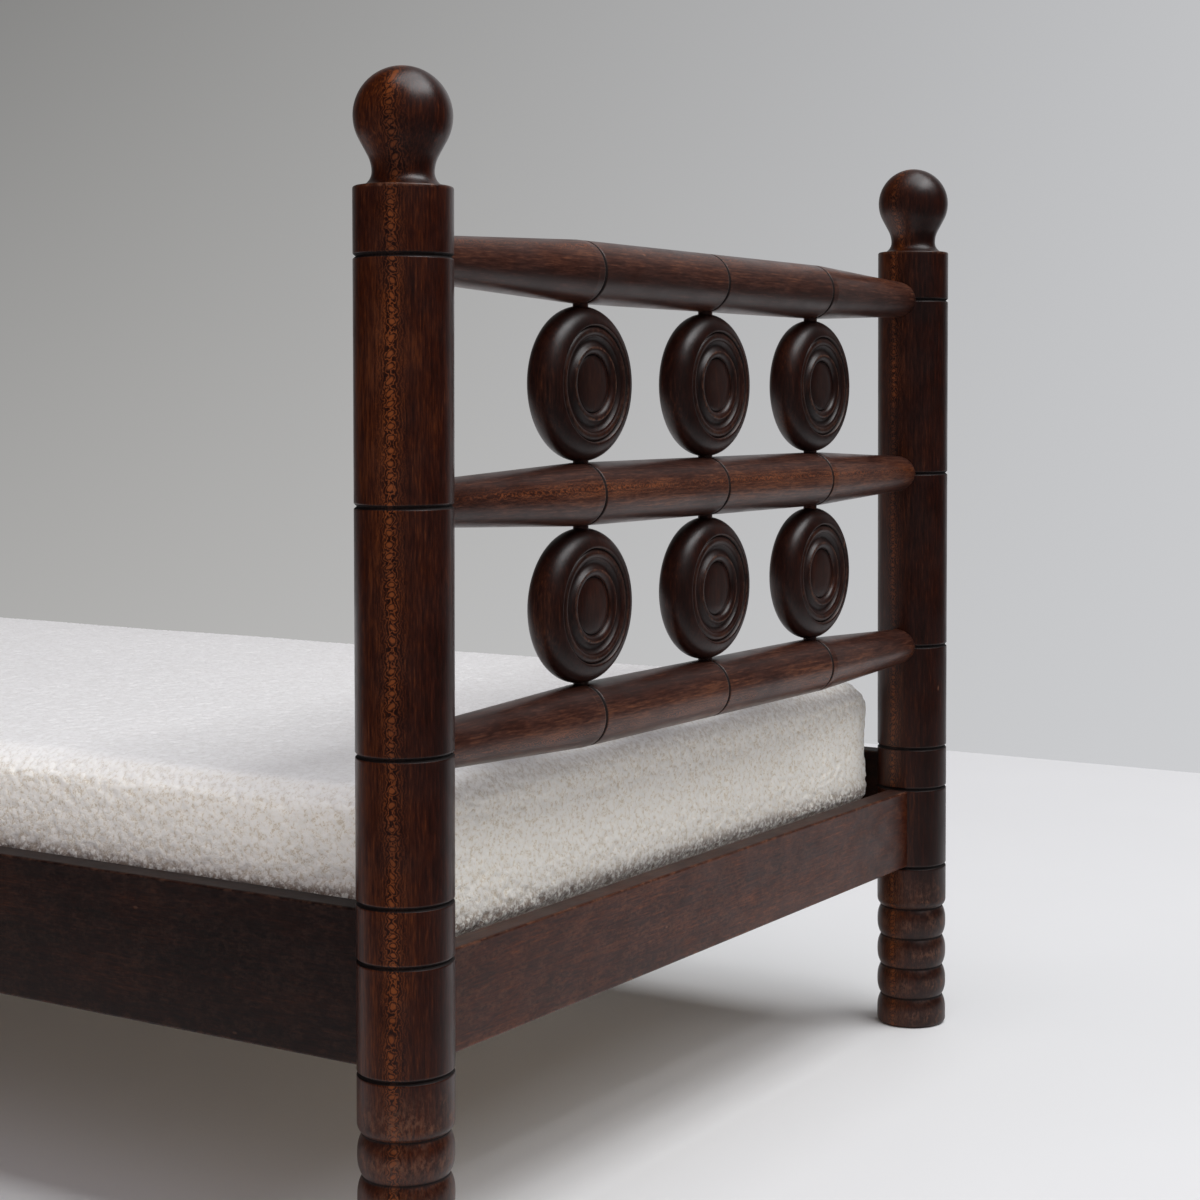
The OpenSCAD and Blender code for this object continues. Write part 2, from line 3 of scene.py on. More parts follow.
import bpy
import numpy as np
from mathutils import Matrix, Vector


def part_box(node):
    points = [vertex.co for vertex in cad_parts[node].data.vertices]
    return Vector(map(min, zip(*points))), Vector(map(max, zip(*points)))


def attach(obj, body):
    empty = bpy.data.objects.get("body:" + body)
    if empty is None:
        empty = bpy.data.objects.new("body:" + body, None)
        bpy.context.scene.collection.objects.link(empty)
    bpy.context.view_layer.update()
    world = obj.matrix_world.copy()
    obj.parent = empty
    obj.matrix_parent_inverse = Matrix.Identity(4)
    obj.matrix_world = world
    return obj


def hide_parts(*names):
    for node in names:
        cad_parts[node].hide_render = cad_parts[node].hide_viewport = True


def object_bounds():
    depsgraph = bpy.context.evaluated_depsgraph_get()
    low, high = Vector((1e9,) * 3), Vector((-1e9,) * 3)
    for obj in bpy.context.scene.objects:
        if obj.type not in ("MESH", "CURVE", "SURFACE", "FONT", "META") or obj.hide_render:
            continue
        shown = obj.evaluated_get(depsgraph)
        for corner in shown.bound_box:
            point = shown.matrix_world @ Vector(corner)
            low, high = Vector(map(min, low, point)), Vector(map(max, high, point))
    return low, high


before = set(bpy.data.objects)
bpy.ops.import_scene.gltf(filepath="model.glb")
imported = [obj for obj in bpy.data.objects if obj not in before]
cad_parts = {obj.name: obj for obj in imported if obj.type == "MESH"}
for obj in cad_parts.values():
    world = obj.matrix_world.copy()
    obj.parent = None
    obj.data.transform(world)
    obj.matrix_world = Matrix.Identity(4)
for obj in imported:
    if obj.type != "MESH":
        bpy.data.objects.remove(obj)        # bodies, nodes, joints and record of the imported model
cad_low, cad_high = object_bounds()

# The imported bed, dressed with finely turned wood and a padded cover, on a pale floor in soft light

MM = 0.001
ENDS = ("head", "foot")
SIDES = ("left", "right")
LEVELS = ("bottom", "middle", "top")
ROWS = ("upper", "lower")
PLACES = ("left", "centre", "right")

# Camera, from the edges measured in the photograph: metres, degrees, pixels and shares of the picture
CAMERA_AT = (-1.8639, -2.0933, 0.7225)
CAMERA_YAW = 58.632
CAMERA_PITCH = -1.484
FOCAL_PIXELS = 2223.8
IMAGE_PIXELS = 1200
SENSOR_MM = 36.0
SHIFT = (-0.07, -0.12)

# Floor, whose far edge is the foot of the photograph's wall
FLOOR_HALF_X = 2.30
FLOOR_HALF_Y = 3.40
FLOOR_STOPS = [(0.3, (0.742, 0.745, 0.746)), (0.7, (0.767, 0.770, 0.771))]
FLOOR_CLOUDS_PER_METRE = 1.3
# Band in which the floor turns dim for reflections: width, distance in front of the bed, and slant
FLOOR_FADE = 0.80
FLOOR_FADE_START = 0.15
FLOOR_FADE_SLANT = 0.3

# Lamps: each is a size, a power in watts and a place
SKYLIGHT = ((6.8, 7.8), 606, (0.9, -3.96, 8.0))
BRIGHTER_SIDE = ((6.8, 4.2), 325, (0.9, -5.88, 8.05))
DAYLIGHT = (0.975, 0.985, 1.0)

# World: light of the walls straight ahead, and how it changes to the right and upwards
WALL_LEVEL = 0.478
WALL_LEVEL_RIGHT = 0.432
WALL_SLOPE = -0.414
WALL_SLOPE_RIGHT = 0.82
# How far the walls change to the left and right, and downwards and upwards, as shares of a direction
WALL_RIGHT_RANGE = (-0.34, 0.32)
WALL_UP_RANGE = (-0.16, 0.24)
WALL_TINTS = [(0.0, (1.01, 1.0, 0.982)), (1.0, (0.99, 1.0, 1.025))]
# Brightness of the room behind the camera and ahead of it, as reflections see it, against the walls
DIM_ROOM = 0.05
BRIGHT_ROOM = 1.15
# Plain fill: its colour, and its strength from the horizon down and higher up
FILL = (1.0, 0.935, 1.0)
LOW_FILL = 0.68
HIGH_FILL = 0.05

# Post, in millimetres
POST_R = 40.2
POST_FOOT_R = 39.4
BALL_R = 39.7
BALL_RISE = 56.0
NECK_R = 25.0
NECK_RISE = 11.5
FLARE_R = 12.0
COVE_R = 28.6
POST_RISE = 55.5
BEAD_R = 39.2
NOTCH_R = 35.0
BEAD_POWER = 2.6
BEAD_COUNT = 4
BEAD_H = 34.5
FOOT_BEAD_H = 32.5
FOOT_ROUND = 5.0
LEG_ROUND = 9.5
SHOULDER_ROUND = 2.0
SHOULDER_LAND = 1.5
POST_GROOVE = (3.6, 2.3)
GROOVE_ABOVE_BOARD = 1.5
GROOVE_ABOVE_RAIL = 9.5
POST_SEGMENTS = 96

# Lip of a scored groove, from the shaft inwards: how deep, how far outside the cut, and its mark
GROOVE_LIP = ((0.0, 1.7, 0.0), (0.0, 0.9, 0.1), (0.12, 0.3, 0.0), (0.5, -0.1, -1.0))
GROOVE_FLOOR_HALF = 0.15
# Bead: where its outline and its painted shade start, as shares of its half height, and the wear of its sides
BEAD_START = 0.98
BEAD_SHADE_START = 0.93
BEAD_WEAR = 0.35

# Spindle, in millimetres
SPINDLE_R = 28.4
SPINDLE_END_R = 19.75
SPINDLE_FLAT = 228.0
SPINDLE_SEAT = 27.0
TENON_R = 12.0
TENON_CHAMFER = 1.5
SPINDLE_GROOVE = (3.6, 2.2)
SPINDLE_SEGMENTS = 72

# Disc, in millimetres
RIM_R = 18.0
BUTTON_R = 25.0
RIDGE_R = 33.0
RIDGE_W = 1.2
BAND_W = 7.0
BAND_RISE = 1.6
BAND_WEAR = 0.35
RIDGE_SINK = 1.0
BUTTON_SINK = 3.0
BUTTON_FALL = 2.0
BUTTON_WEAR = 0.15
BUTTON_GROOVE_W = 1.4
BUTTON_GROOVE_SINK = 6.0
COVE_DEPTH = 4.5
# Painted shade in the middle of a face's cove
COVE_PAINTED_SHADE = 0.25
RIM_GROOVE_W = 1.0
RIM_GROOVE_SINK = 3.4
RIM_CHAMFER = 0.75
DISC_SEGMENTS = 96


def centre_of(node):
    low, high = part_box(node)
    return (low + high) / 2


# Outlines: points of (radius, height, mark), where mark is 1 on a rubbed ridge and -1 where shade is painted
# into grooves and hollows

def arc(x, y, r, start, stop, steps, mark=0.0):
    turn = np.radians(np.linspace(start, stop, steps + 1))
    return [(x + r * math.cos(a), y + r * math.sin(a), mark) for a in turn]


def groove(r, h, width, depth):
    """A scored V with eased lips across a shaft of radius r."""
    low = [(r - sink, h - width / 2 - away, mark) for sink, away, mark in GROOVE_LIP]
    high = [(r - sink, h + width / 2 + away, mark) for sink, away, mark in reversed(GROOVE_LIP)]
    # The groove's floor, with shade painted into it
    bottom = [(r - depth, h + side * GROOVE_FLOOR_HALF, -1.0) for side in (-1, 1)]
    return low + bottom + high


def bead(middle, half, top_r, start, stop, steps):
    """A bead of the leg, or a part of one: 0 is its middle, and -1 and 1 are the notches beside it."""
    points = []
    for t in np.linspace(start, stop, steps + 1):
        swell = 1 - abs(t) ** BEAD_POWER
        wear = BEAD_WEAR + (1 - BEAD_WEAR) * max(0.0, 1 - 2.0 * abs(t))
        # Shade is painted into the notches beside the bead
        mark = -1.0 if abs(t) > BEAD_SHADE_START else wear
        points.append((NOTCH_R + (top_r - NOTCH_R) * swell, middle + t * half, mark))
    return points


def heights():
    """Heights of what the posts carry, in millimetres, from the frame."""
    rail_low, rail_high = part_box("left_side_rail")
    board_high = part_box("head_end_board")[1]
    spindles = [centre_of(f"head_{level}_spindle").z / MM for level in LEVELS]
    return rail_low.z / MM, board_high.z / MM, rail_high.z / MM, spindles


def ball_and_neck(shoulder):
    """The post's top: a flare, a cove and the ball, with a straight run that touches both circles."""
    run_turn = math.degrees(math.acos((BALL_R + COVE_R) / math.hypot(NECK_R + COVE_R, BALL_RISE - NECK_RISE)))
    run_angle = run_turn - math.degrees(math.atan2(BALL_RISE - NECK_RISE, NECK_R + COVE_R))
    flare_turn = math.degrees(math.asin(NECK_RISE / FLARE_R))
    points = arc(NECK_R + FLARE_R, shoulder + NECK_RISE, FLARE_R, 180 + flare_turn, 180, 10)
    points += arc(NECK_R + COVE_R, shoulder + NECK_RISE, COVE_R, 177, 180 + run_angle, 8)
    points += arc(0, shoulder + BALL_RISE, BALL_R, run_angle, 90, 40)
    return points[:-1] + [(0, shoulder + BALL_RISE + BALL_R, 0)]


def post_outline():
    """The post from the floor up: the beaded leg, the scored shaft, the shoulder, the neck and the ball."""
    rail_low, board_top, rail_top, spindles = heights()
    shoulder = spindles[-1] + POST_RISE
    leg_top = FOOT_BEAD_H + (BEAD_COUNT - 1) * BEAD_H
    half = BEAD_H / 2

    def shaft_r(h):
        return POST_R + (POST_FOOT_R - POST_R) * (shoulder - h) / (shoulder - leg_top)

    scored = [rail_low, board_top + GROOVE_ABOVE_BOARD, rail_top + GROOVE_ABOVE_RAIL, *spindles]
    points = [(0, 0, 0)]
    points += arc(BEAD_R - FOOT_ROUND, FOOT_ROUND, FOOT_ROUND, -90, 0, 5, 0.6)
    points += bead(FOOT_BEAD_H - half, half, BEAD_R, 1 - BEAD_START, 1, 10)
    for i in range(1, BEAD_COUNT):
        points += bead(FOOT_BEAD_H + (i - 0.5) * BEAD_H, half, BEAD_R, -BEAD_START, 1, 20)
    points += bead(leg_top + LEG_ROUND, LEG_ROUND, shaft_r(leg_top), -BEAD_START, 0, 9)
    for h in scored:
        points += groove(shaft_r(h), h, *POST_GROOVE)
    round_x, round_y = shaft_r(shoulder) - SHOULDER_ROUND, shoulder - SHOULDER_ROUND
    points += [(shaft_r(shoulder), round_y - SHOULDER_LAND, 0.0)]
    points += arc(round_x, round_y, SHOULDER_ROUND, 0, 90, 5, 0.8)
    points += [(round_x - 1.0, shoulder, 0.2)]
    return points + ball_and_neck(shoulder)


def spindle_outline():
    """The spindle from tip to tip: its tenons, its tapers and the flat middle with three grooves."""
    post_x = centre_of("head_right_post").x / MM
    pitch = (centre_of("head_upper_right_disc").x - centre_of("head_upper_centre_disc").x) / MM
    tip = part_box("head_top_spindle")[1].x / MM
    seat = post_x - SPINDLE_SEAT
    middle_groove = groove(SPINDLE_R, 0, *SPINDLE_GROOVE)
    half = middle_groove[len(middle_groove) // 2:]
    half += groove(SPINDLE_R, pitch, *SPINDLE_GROOVE)
    half += [(SPINDLE_R, SPINDLE_FLAT - 1, 0.0), (SPINDLE_R, SPINDLE_FLAT, 0.4)]
    half += [(SPINDLE_R - 0.1, SPINDLE_FLAT + 1, 0.0)]
    # Half-strength painted shade where the spindle goes into the post
    half += [(SPINDLE_END_R, post_x - POST_R, 0.0), (SPINDLE_END_R, seat, -0.5)]
    half += [(TENON_R, seat, 0.0), (TENON_R, tip - TENON_CHAMFER, 0.0)]
    half += [(TENON_R - TENON_CHAMFER, tip, 0.0), (0, tip, 0)]
    return [(r, -h, mark) for r, h, mark in reversed(half)] + half


def disc_button(groove_r, groove_h):
    """The flat button in the middle of a face, and the groove round it."""
    top = RIM_R - BUTTON_SINK
    face = []
    for t in np.linspace(0, 1, 13):
        face.append((BUTTON_R * t, top - BUTTON_FALL * t ** 4, BUTTON_WEAR * (1 - t)))
    # The groove round the button, with shade painted into it
    return face + [(groove_r - 0.8, groove_h + 0.5, -1.0), (groove_r, groove_h, -1.0)]


def disc_ridge(groove_r, groove_h, ridge_h):
    """A hollow that climbs from the groove, and the narrow ridge at its top."""
    ridge_in = RIDGE_R - RIDGE_W
    face = []
    for turn in np.radians(np.linspace(8, 90, 9)):
        lift = groove_h + (ridge_h - groove_h) * math.sin(turn)
        face.append((ridge_in + (groove_r - ridge_in) * math.cos(turn), lift, 0.0))
    face[-1] = (ridge_in, ridge_h, 0.9)
    return face + [(ridge_in + 0.5, ridge_h + 0.08, 1.0), (RIDGE_R - 0.2, ridge_h, 0.9)]


def disc_cove_and_band(band_mid, ridge_h):
    """The wide cove between the ridge and the band, and the raised band along the rim."""
    face = []
    for t in np.linspace(0, 1, 15)[1:-1]:
        sink = COVE_DEPTH * math.sin(math.pi * t) ** 0.8
        # Shade painted into the cove, darkest in its middle
        painted_shade = -COVE_PAINTED_SHADE * math.sin(math.pi * t)
        face.append((RIDGE_R + (band_mid - BAND_W / 2 - RIDGE_R) * t, ridge_h - sink, painted_shade))
    for t in np.linspace(-1, 1, 9):
        rise = 1 - t * t
        face.append((band_mid + t * BAND_W / 2, ridge_h - BAND_RISE + BAND_RISE * rise, BAND_WEAR * rise))
    return face


def disc_outline():
    """The disc from the middle of one face round its rim to the middle of the other."""
    node = "head_upper_left_disc"
    rim_groove_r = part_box(node)[1].z / MM - centre_of(node).z / MM - RIM_R
    groove_r, groove_h = BUTTON_R + BUTTON_GROOVE_W, RIM_R - BUTTON_GROOVE_SINK
    ridge_h = RIM_R - RIDGE_SINK
    face = disc_button(groove_r, groove_h)
    face += disc_ridge(groove_r, groove_h, ridge_h)
    face += disc_cove_and_band(rim_groove_r - RIM_GROOVE_W - BAND_W / 2, ridge_h)
    # The rim's groove, with shade painted into its floor
    for side in (-1, 1):
        face.append((rim_groove_r + side * GROOVE_FLOOR_HALF, RIM_R - RIM_GROOVE_SINK, -1.0))
    face += [(rim_groove_r + RIM_CHAMFER, RIM_R - RIM_CHAMFER, 0.8)]
    face += arc(rim_groove_r, 0, RIM_R, 85, 0, 20)
    far_side = [(r, -h, mark) for r, h, mark in face]
    return far_side + face[-2::-1]


# Meshes

def new_object(name, points, faces):
    mesh = bpy.data.meshes.new(name)
    mesh.from_pydata([tuple(p) for p in points], [], faces)
    mesh.validate()
    mesh.shade_smooth()
    obj = bpy.data.objects.new(name, mesh)
    bpy.context.scene.collection.objects.link(obj)
    return obj


def lathe(name, outline, segments, origin, axes):
    """Turns an outline in millimetres about axes[2], with its origin in metres."""
    axes = np.array(axes, float)
    turn = np.arange(segments) * 2 * math.pi / segments
    points, faces, marks, rings = [], [], [], []
    for r, h, mark in outline:
        if r < 1e-6:
            rings.append([len(points)])
            points.append(h * axes[2])
            marks.append(mark)
            continue
        rings.append(list(range(len(points), len(points) + segments)))
        for a in turn:
            points.append(r * math.cos(a) * axes[0] + r * math.sin(a) * axes[1] + h * axes[2])
            marks.append(mark)
    for low, high in zip(rings, rings[1:]):
        for i in range(segments):
            j = (i + 1) % segments
            if len(low) == 1:
                faces.append((low[0], high[j], high[i]))
            elif len(high) == 1:
                faces.append((low[i], low[j], high[0]))
            else:
                faces.append((low[i], low[j], high[j], high[i]))
    obj = new_object(name, np.array(points) * MM + np.array(origin), faces)
    return obj, np.array(marks)


def coordinates(mesh):
    co = np.zeros(len(mesh.vertices) * 3, np.float32)
    mesh.vertices.foreach_get("co", co)
    return co.reshape(-1, 3).astype(float)


def set_coordinates(mesh, points):
    mesh.vertices.foreach_set("co", points.astype(np.float32).ravel())
    mesh.update()


def vertex_normals(mesh):
    normals = np.zeros(len(mesh.vertices) * 3, np.float32)
    mesh.vertex_normals.foreach_get("vector", normals)
    return normals.reshape(-1, 3).astype(float)


def give_attribute(mesh, name, kind, values):
    attribute = mesh.attributes.new(name, kind, "POINT")
    field = "vector" if kind == "FLOAT_VECTOR" else "value"
    attribute.data.foreach_set(field, np.ascontiguousarray(values, np.float32).ravel())


# How far apart in the wood the planks of two pieces lie, in metres, so that no two pieces look alike
PLANK_SHIFT = (0.37, 0.61, 0.83)


def give_grain(obj, marks, origin, face, along, seed, aside, shade, faded):
    """Stores where each point lies in its own plank, how flat-sawn it is there, its wear, the shade painted
    into its hollows, and its stain's shade.

    The chain of rings shows along the line where lateral is 0, and aside moves both of its halves off it.
    """
    mesh = obj.data
    face, along = np.array(face, float), np.array(along, float)
    axes = np.array([face, np.cross(along, face), along])
    place = (coordinates(mesh) - np.array(origin)) @ axes.T
    give_attribute(mesh, "grain", "FLOAT_VECTOR", place + np.array(PLANK_SHIFT) * (seed + 1))
    give_attribute(mesh, "lateral", "FLOAT", np.abs(place[:, 1]) + aside if aside else place[:, 1])
    give_attribute(mesh, "figure", "FLOAT", np.abs(vertex_normals(mesh) @ face))
    give_attribute(mesh, "wear", "FLOAT", np.clip(marks, 0, 1))
    give_attribute(mesh, "painted_shade", "FLOAT", np.clip(-marks, 0, 1))
    give_attribute(mesh, "shade", "FLOAT", np.full(len(marks), shade))
    give_attribute(mesh, "faded", "FLOAT", np.full(len(marks), faded))


# Materials

class Nodes:
    """Adds shader nodes to a tree and links them."""

    def __init__(self, tree):
        self.tree = tree
        tree.nodes.clear()

    def add(self, kind, inputs=None, **settings):
        node = self.tree.nodes.new(kind)
        for name, value in settings.items():
            setattr(node, name, value)
        for key, value in (inputs or {}).items():
            if isinstance(value, bpy.types.NodeSocket):
                self.tree.links.new(value, node.inputs[key])
            else:
                node.inputs[key].default_value = value
        return node

    def math(self, operation, a, b=0.0, clamp=False):
        return self.add("ShaderNodeMath", {0: a, 1: b}, operation=operation, use_clamp=clamp).outputs[0]

    def plus(self, a, b):
        return self.math("ADD", a, b)

    def minus(self, a, b):
        return self.math("SUBTRACT", a, b)

    def times(self, a, b):
        return self.math("MULTIPLY", a, b)

    def limited(self, value, low, high):
        return self.add("ShaderNodeClamp", {"Value": value, "Min": low, "Max": high}).outputs[0]

    def smooth(self, value, low, high, out_low=0.0, out_high=1.0):
        inputs = {"Value": value, "From Min": low, "From Max": high, "To Min": out_low, "To Max": out_high}
        return self.add("ShaderNodeMapRange", inputs, interpolation_type="SMOOTHSTEP").outputs[0]

    def place(self):
        return self.add("ShaderNodeTexCoord").outputs["Object"]

    def parts(self, vector):
        return self.add("ShaderNodeSeparateXYZ", {0: vector}).outputs

    def vector_math(self, operation, a, b):
        return self.add("ShaderNodeVectorMath", {0: a, 1: b}, operation=operation).outputs[0]

    def scaled(self, vector, factors):
        return self.vector_math("MULTIPLY", vector, factors)

    def resized(self, vector, factor):
        return self.add("ShaderNodeVectorMath", {0: vector, 3: factor}, operation="SCALE").outputs[0]

    def along(self, vector, axis):
        node = self.add("ShaderNodeVectorMath", {0: vector, 1: axis}, operation="DOT_PRODUCT")
        return node.outputs["Value"]

    def noise(self, vector, detail=2.0, roughness=0.5, distortion=0.0):
        inputs = {"Vector": vector, "Scale": 1.0, "Detail": detail}
        inputs.update({"Roughness": roughness, "Distortion": distortion})
        return self.add("ShaderNodeTexNoise", inputs).outputs["Fac"]

    def ramp(self, value, stops):
        node = self.add("ShaderNodeValToRGB", {0: value})
        elements = node.color_ramp.elements
        while len(elements) < len(stops):
            elements.new(0.5)
        for element, (place, colour) in zip(elements, stops):
            element.position = place
            element.color = (*colour, 1)
        return node.outputs[0]

    def mix(self, factor, a, b, blend="MIX"):
        node = self.add("ShaderNodeMix", data_type="RGBA", blend_type=blend)
        for key, value in ((0, factor), (6, a), (7, b)):
            if isinstance(value, bpy.types.NodeSocket):
                self.tree.links.new(value, node.inputs[key])
            else:
                node.inputs[key].default_value = value if key == 0 else (*value, 1)
        return node.outputs[2]

    def attribute(self, name):
        return self.add("ShaderNodeAttribute", attribute_name=name)

    def shader(self, colour, roughness, height, bump_depth, **fixed):
        bump = self.add("ShaderNodeBump", {"Height": height, "Distance": bump_depth, "Strength": 1.0})
        inputs = {"Base Color": colour, "Roughness": roughness, "Normal": bump.outputs[0]}
        inputs.update({key.replace("_", " "): value for key, value in fixed.items()})
        principled = self.add("ShaderNodeBsdfPrincipled", inputs)
        self.add("ShaderNodeOutputMaterial", {"Surface": principled.outputs[0]})


def new_material(name):
    material = bpy.data.materials.new(name)
    material.use_nodes = True
    return material, Nodes(material.node_tree)


def paint(obj, material):
    obj.data.materials.clear()
    obj.data.materials.append(material)


# Stained beech

DARK_STOPS = [
    (0.38, (0.0120, 0.0022, 0.0009)),
    (0.47, (0.0250, 0.0040, 0.0012)),
    (0.53, (0.0420, 0.0076, 0.0014)),
    (0.62, (0.0980, 0.0215, 0.0027)),
]
FADED_STOPS = [
    (0.42, (0.038, 0.020, 0.015)),
    (0.50, (0.078, 0.044, 0.033)),
    (0.58, (0.160, 0.092, 0.062)),
]
FIGURE_ORANGE = (0.30, 0.072, 0.010)
WORN_TAN = (0.21, 0.085, 0.042)
# Colour of the painted shade in grooves, hollows and on boards' tops
PAINTED_SHADE_BLACK = (0.004, 0.0022, 0.0018)
# Changes of each marking per metre: twice across the grain, and along it
FLECK_GRAIN = (760, 760, 95)
STREAK_GRAIN = (430, 430, 24)
BAND_GRAIN = (38, 38, 1.6)
CLOUD_GRAIN = (17, 17, 9)
WANDER_GRAIN = (26, 26, 15)
CURL_GRAIN = (290, 290, 230)
CHIP_GRAIN = (330, 330, 190)
PATCH_GRAIN = (75, 75, 48)
NICK_GRAIN = (55, 48, 26)
HAZE_GRAIN = (34, 34, 24)
# Share of each marking in the wood's tone
STREAK_SHARE = 0.34
FLECK_SHARE = 0.28
BAND_SHARE = 0.17
CLOUD_SHARE = 0.21
# Tone from how flat-sawn the wood is, and painted light and shade from its place across the piece, paler on
# one side and darker on the other: two places and their tones
FIGURE_TONE = (0.45, 0.90, -0.045, 0.015)
SIDE_LIGHT_AND_SHADE = (-0.035, 0.035, 0.032, -0.028)
# Chain of rings along a post's flat-sawn line, in metres
CHAIN_PITCH = 0.0095
CHAIN_REACH = 0.0034
CHAIN_WANDER = 0.008
RING_PITCH = 0.0020
RING_CURL = 0.0052
# Weight of squares across the line, which stretches the rings that way
RING_STRETCH = 0.7
# Distances at which a ring's centre, the line's core and its surroundings end and are full, in metres
BLOB_REACH = (0.0036, 0.0020)
CORE_REACH = (0.0075, 0.0020)
AROUND_REACH = (0.0170, 0.0060)
# How much of each colour shows
CORE_SHOWN = 0.30
AROUND_SHOWN = 0.16
BLOB_SHOWN = 0.62
BETWEEN_SHOWN = 1.7
RUBBED_SHOWN = 0.62
NICK_SHOWN = 0.55
PAINTED_SHADE_SHOWN = 0.85
# Stain of each kind of piece, against the posts: the side rails and end boards took one stain, so the rails'
# lower value is painted shade and the boards' higher one painted light
DISC_SHADE = 0.76
SPINDLE_SHADE = 1.25
RAIL_STAIN_AND_PAINTED_SHADE = 0.50
BOARD_STAIN_AND_PAINTED_LIGHT = 1.18
# How far the stain has faded
SPINDLE_FADED = 0.26
DISC_FADED = 0.06
# How far each half of a ring chain is moved off its line, in metres: on discs no chain is left
SPINDLE_ASIDE = 0.0042
DISC_ASIDE = 1.0
# Wear of a board's faces, and how far from its edges extra wear starts and is full, in metres
BOARD_WEAR = 0.30
EDGE_WEAR = (0.0034, 0.0006)
# Light that the waxed surface throws back, its roughness from clear to hazy, and its relief in metres
WOOD_SHINE = 0.38
WAXED_ROUGHNESS = (0.28, 0.38)
WOOD_BUMP = 0.00010
WOOD_MARKS = ("Figure", "Lateral", "Wear", "Painted_shade", "Shade", "Faded")
WOOD_LOOKS = ("Colour", "Roughness", "Height")


def wood_tone(n, given, flecks, streaks, clouds):
    """How pale the plain wood is, from its markings, from how flat-sawn it is there, and from painted light
    and shade across the piece.
    """
    bands = n.noise(n.scaled(given["Grain"], BAND_GRAIN), 2, 0.5)
    tone = n.plus(n.times(streaks, STREAK_SHARE), n.times(flecks, FLECK_SHARE))
    tone = n.plus(tone, n.times(bands, BAND_SHARE))
    tone = n.plus(tone, n.times(clouds, CLOUD_SHARE))
    tone = n.plus(tone, n.smooth(given["Figure"], *FIGURE_TONE))
    # Painted light on one side of a post and painted shade on the other
    return n.plus(tone, n.smooth(given["Lateral"], *SIDE_LIGHT_AND_SHADE))


def ring_chain(n, given, clouds):
    """Rings that chain along the flat-sawn line: how orange the wood is on them, and how dark between."""
    grain = given["Grain"]
    wander = n.noise(n.scaled(grain, WANDER_GRAIN), 2, 0.5)
    drift = n.times(n.minus(wander, 0.5), CHAIN_WANDER)
    lateral = n.math("ABSOLUTE", n.plus(given["Lateral"], drift))
    phase = n.plus(n.times(n.parts(grain)[2], math.pi / CHAIN_PITCH), n.times(wander, 13))
    along = n.times(n.math("SINE", phase), CHAIN_REACH)
    curl = n.times(n.noise(n.scaled(grain, CURL_GRAIN), 2, 0.6), RING_CURL)
    across = n.times(lateral, n.times(lateral, RING_STRETCH))
    straight = n.math("SQRT", n.plus(across, n.times(along, along)))
    blob = n.smooth(n.plus(straight, n.times(curl, 0.3)), *BLOB_REACH)
    turn = n.times(n.plus(straight, curl), 2 * math.pi / RING_PITCH)
    rings = n.smooth(n.math("COSINE", turn), -0.1, 0.95)
    core = n.smooth(lateral, *CORE_REACH)
    around = n.smooth(lateral, *AROUND_REACH)
    near_line = n.plus(n.times(core, CORE_SHOWN), n.times(around, AROUND_SHOWN))
    orange = n.math("MAXIMUM", n.times(near_line, rings), n.times(blob, BLOB_SHOWN))
    patchy = n.smooth(clouds, 0.34, 0.62, 0.35, 1.0)
    dark = n.times(n.minus(1.0, rings), n.times(near_line, BETWEEN_SHOWN))
    return n.times(orange, patchy), dark


def rubbed_wood(n, given):
    """Where the stain has gone from the ridges, in chips and patches."""
    chips = n.noise(n.scaled(given["Grain"], CHIP_GRAIN), 3, 0.7)
    patches = n.noise(n.scaled(given["Grain"], PATCH_GRAIN), 4, 0.65)
    rubbed = n.times(given["Wear"], n.smooth(chips, 0.36, 0.66))
    return n.times(rubbed, n.smooth(patches, 0.40, 0.60, 0.25, 1.0))


def single_nicks(n, given):
    """Small nicks, in about one cell of twelve."""
    cells = n.add("ShaderNodeTexVoronoi", {"Vector": n.scaled(given["Grain"], NICK_GRAIN), "Scale": 1.0})
    draw = n.add("ShaderNodeSeparateColor", {0: cells.outputs["Color"]}).outputs[0]
    return n.times(n.smooth(cells.outputs["Distance"], 0.10, 0.04), n.smooth(draw, 0.90, 0.93))


def wood_roughness(n, given, rubbed):
    """Waxed and a little hazy, duller where it is rubbed, where shade is painted, and where it is darkly
    stained.
    """
    haze = n.noise(n.scaled(given["Grain"], HAZE_GRAIN), 4, 0.6)
    matt = n.times(n.math("SUBTRACT", 1.0, given["Shade"], clamp=True), 0.20)
    rough = n.plus(n.smooth(haze, 0.3, 0.7, *WAXED_ROUGHNESS), n.plus(n.times(rubbed, 0.12), matt))
    return n.math("ADD", rough, n.times(given["Painted_shade"], 0.5), clamp=True)


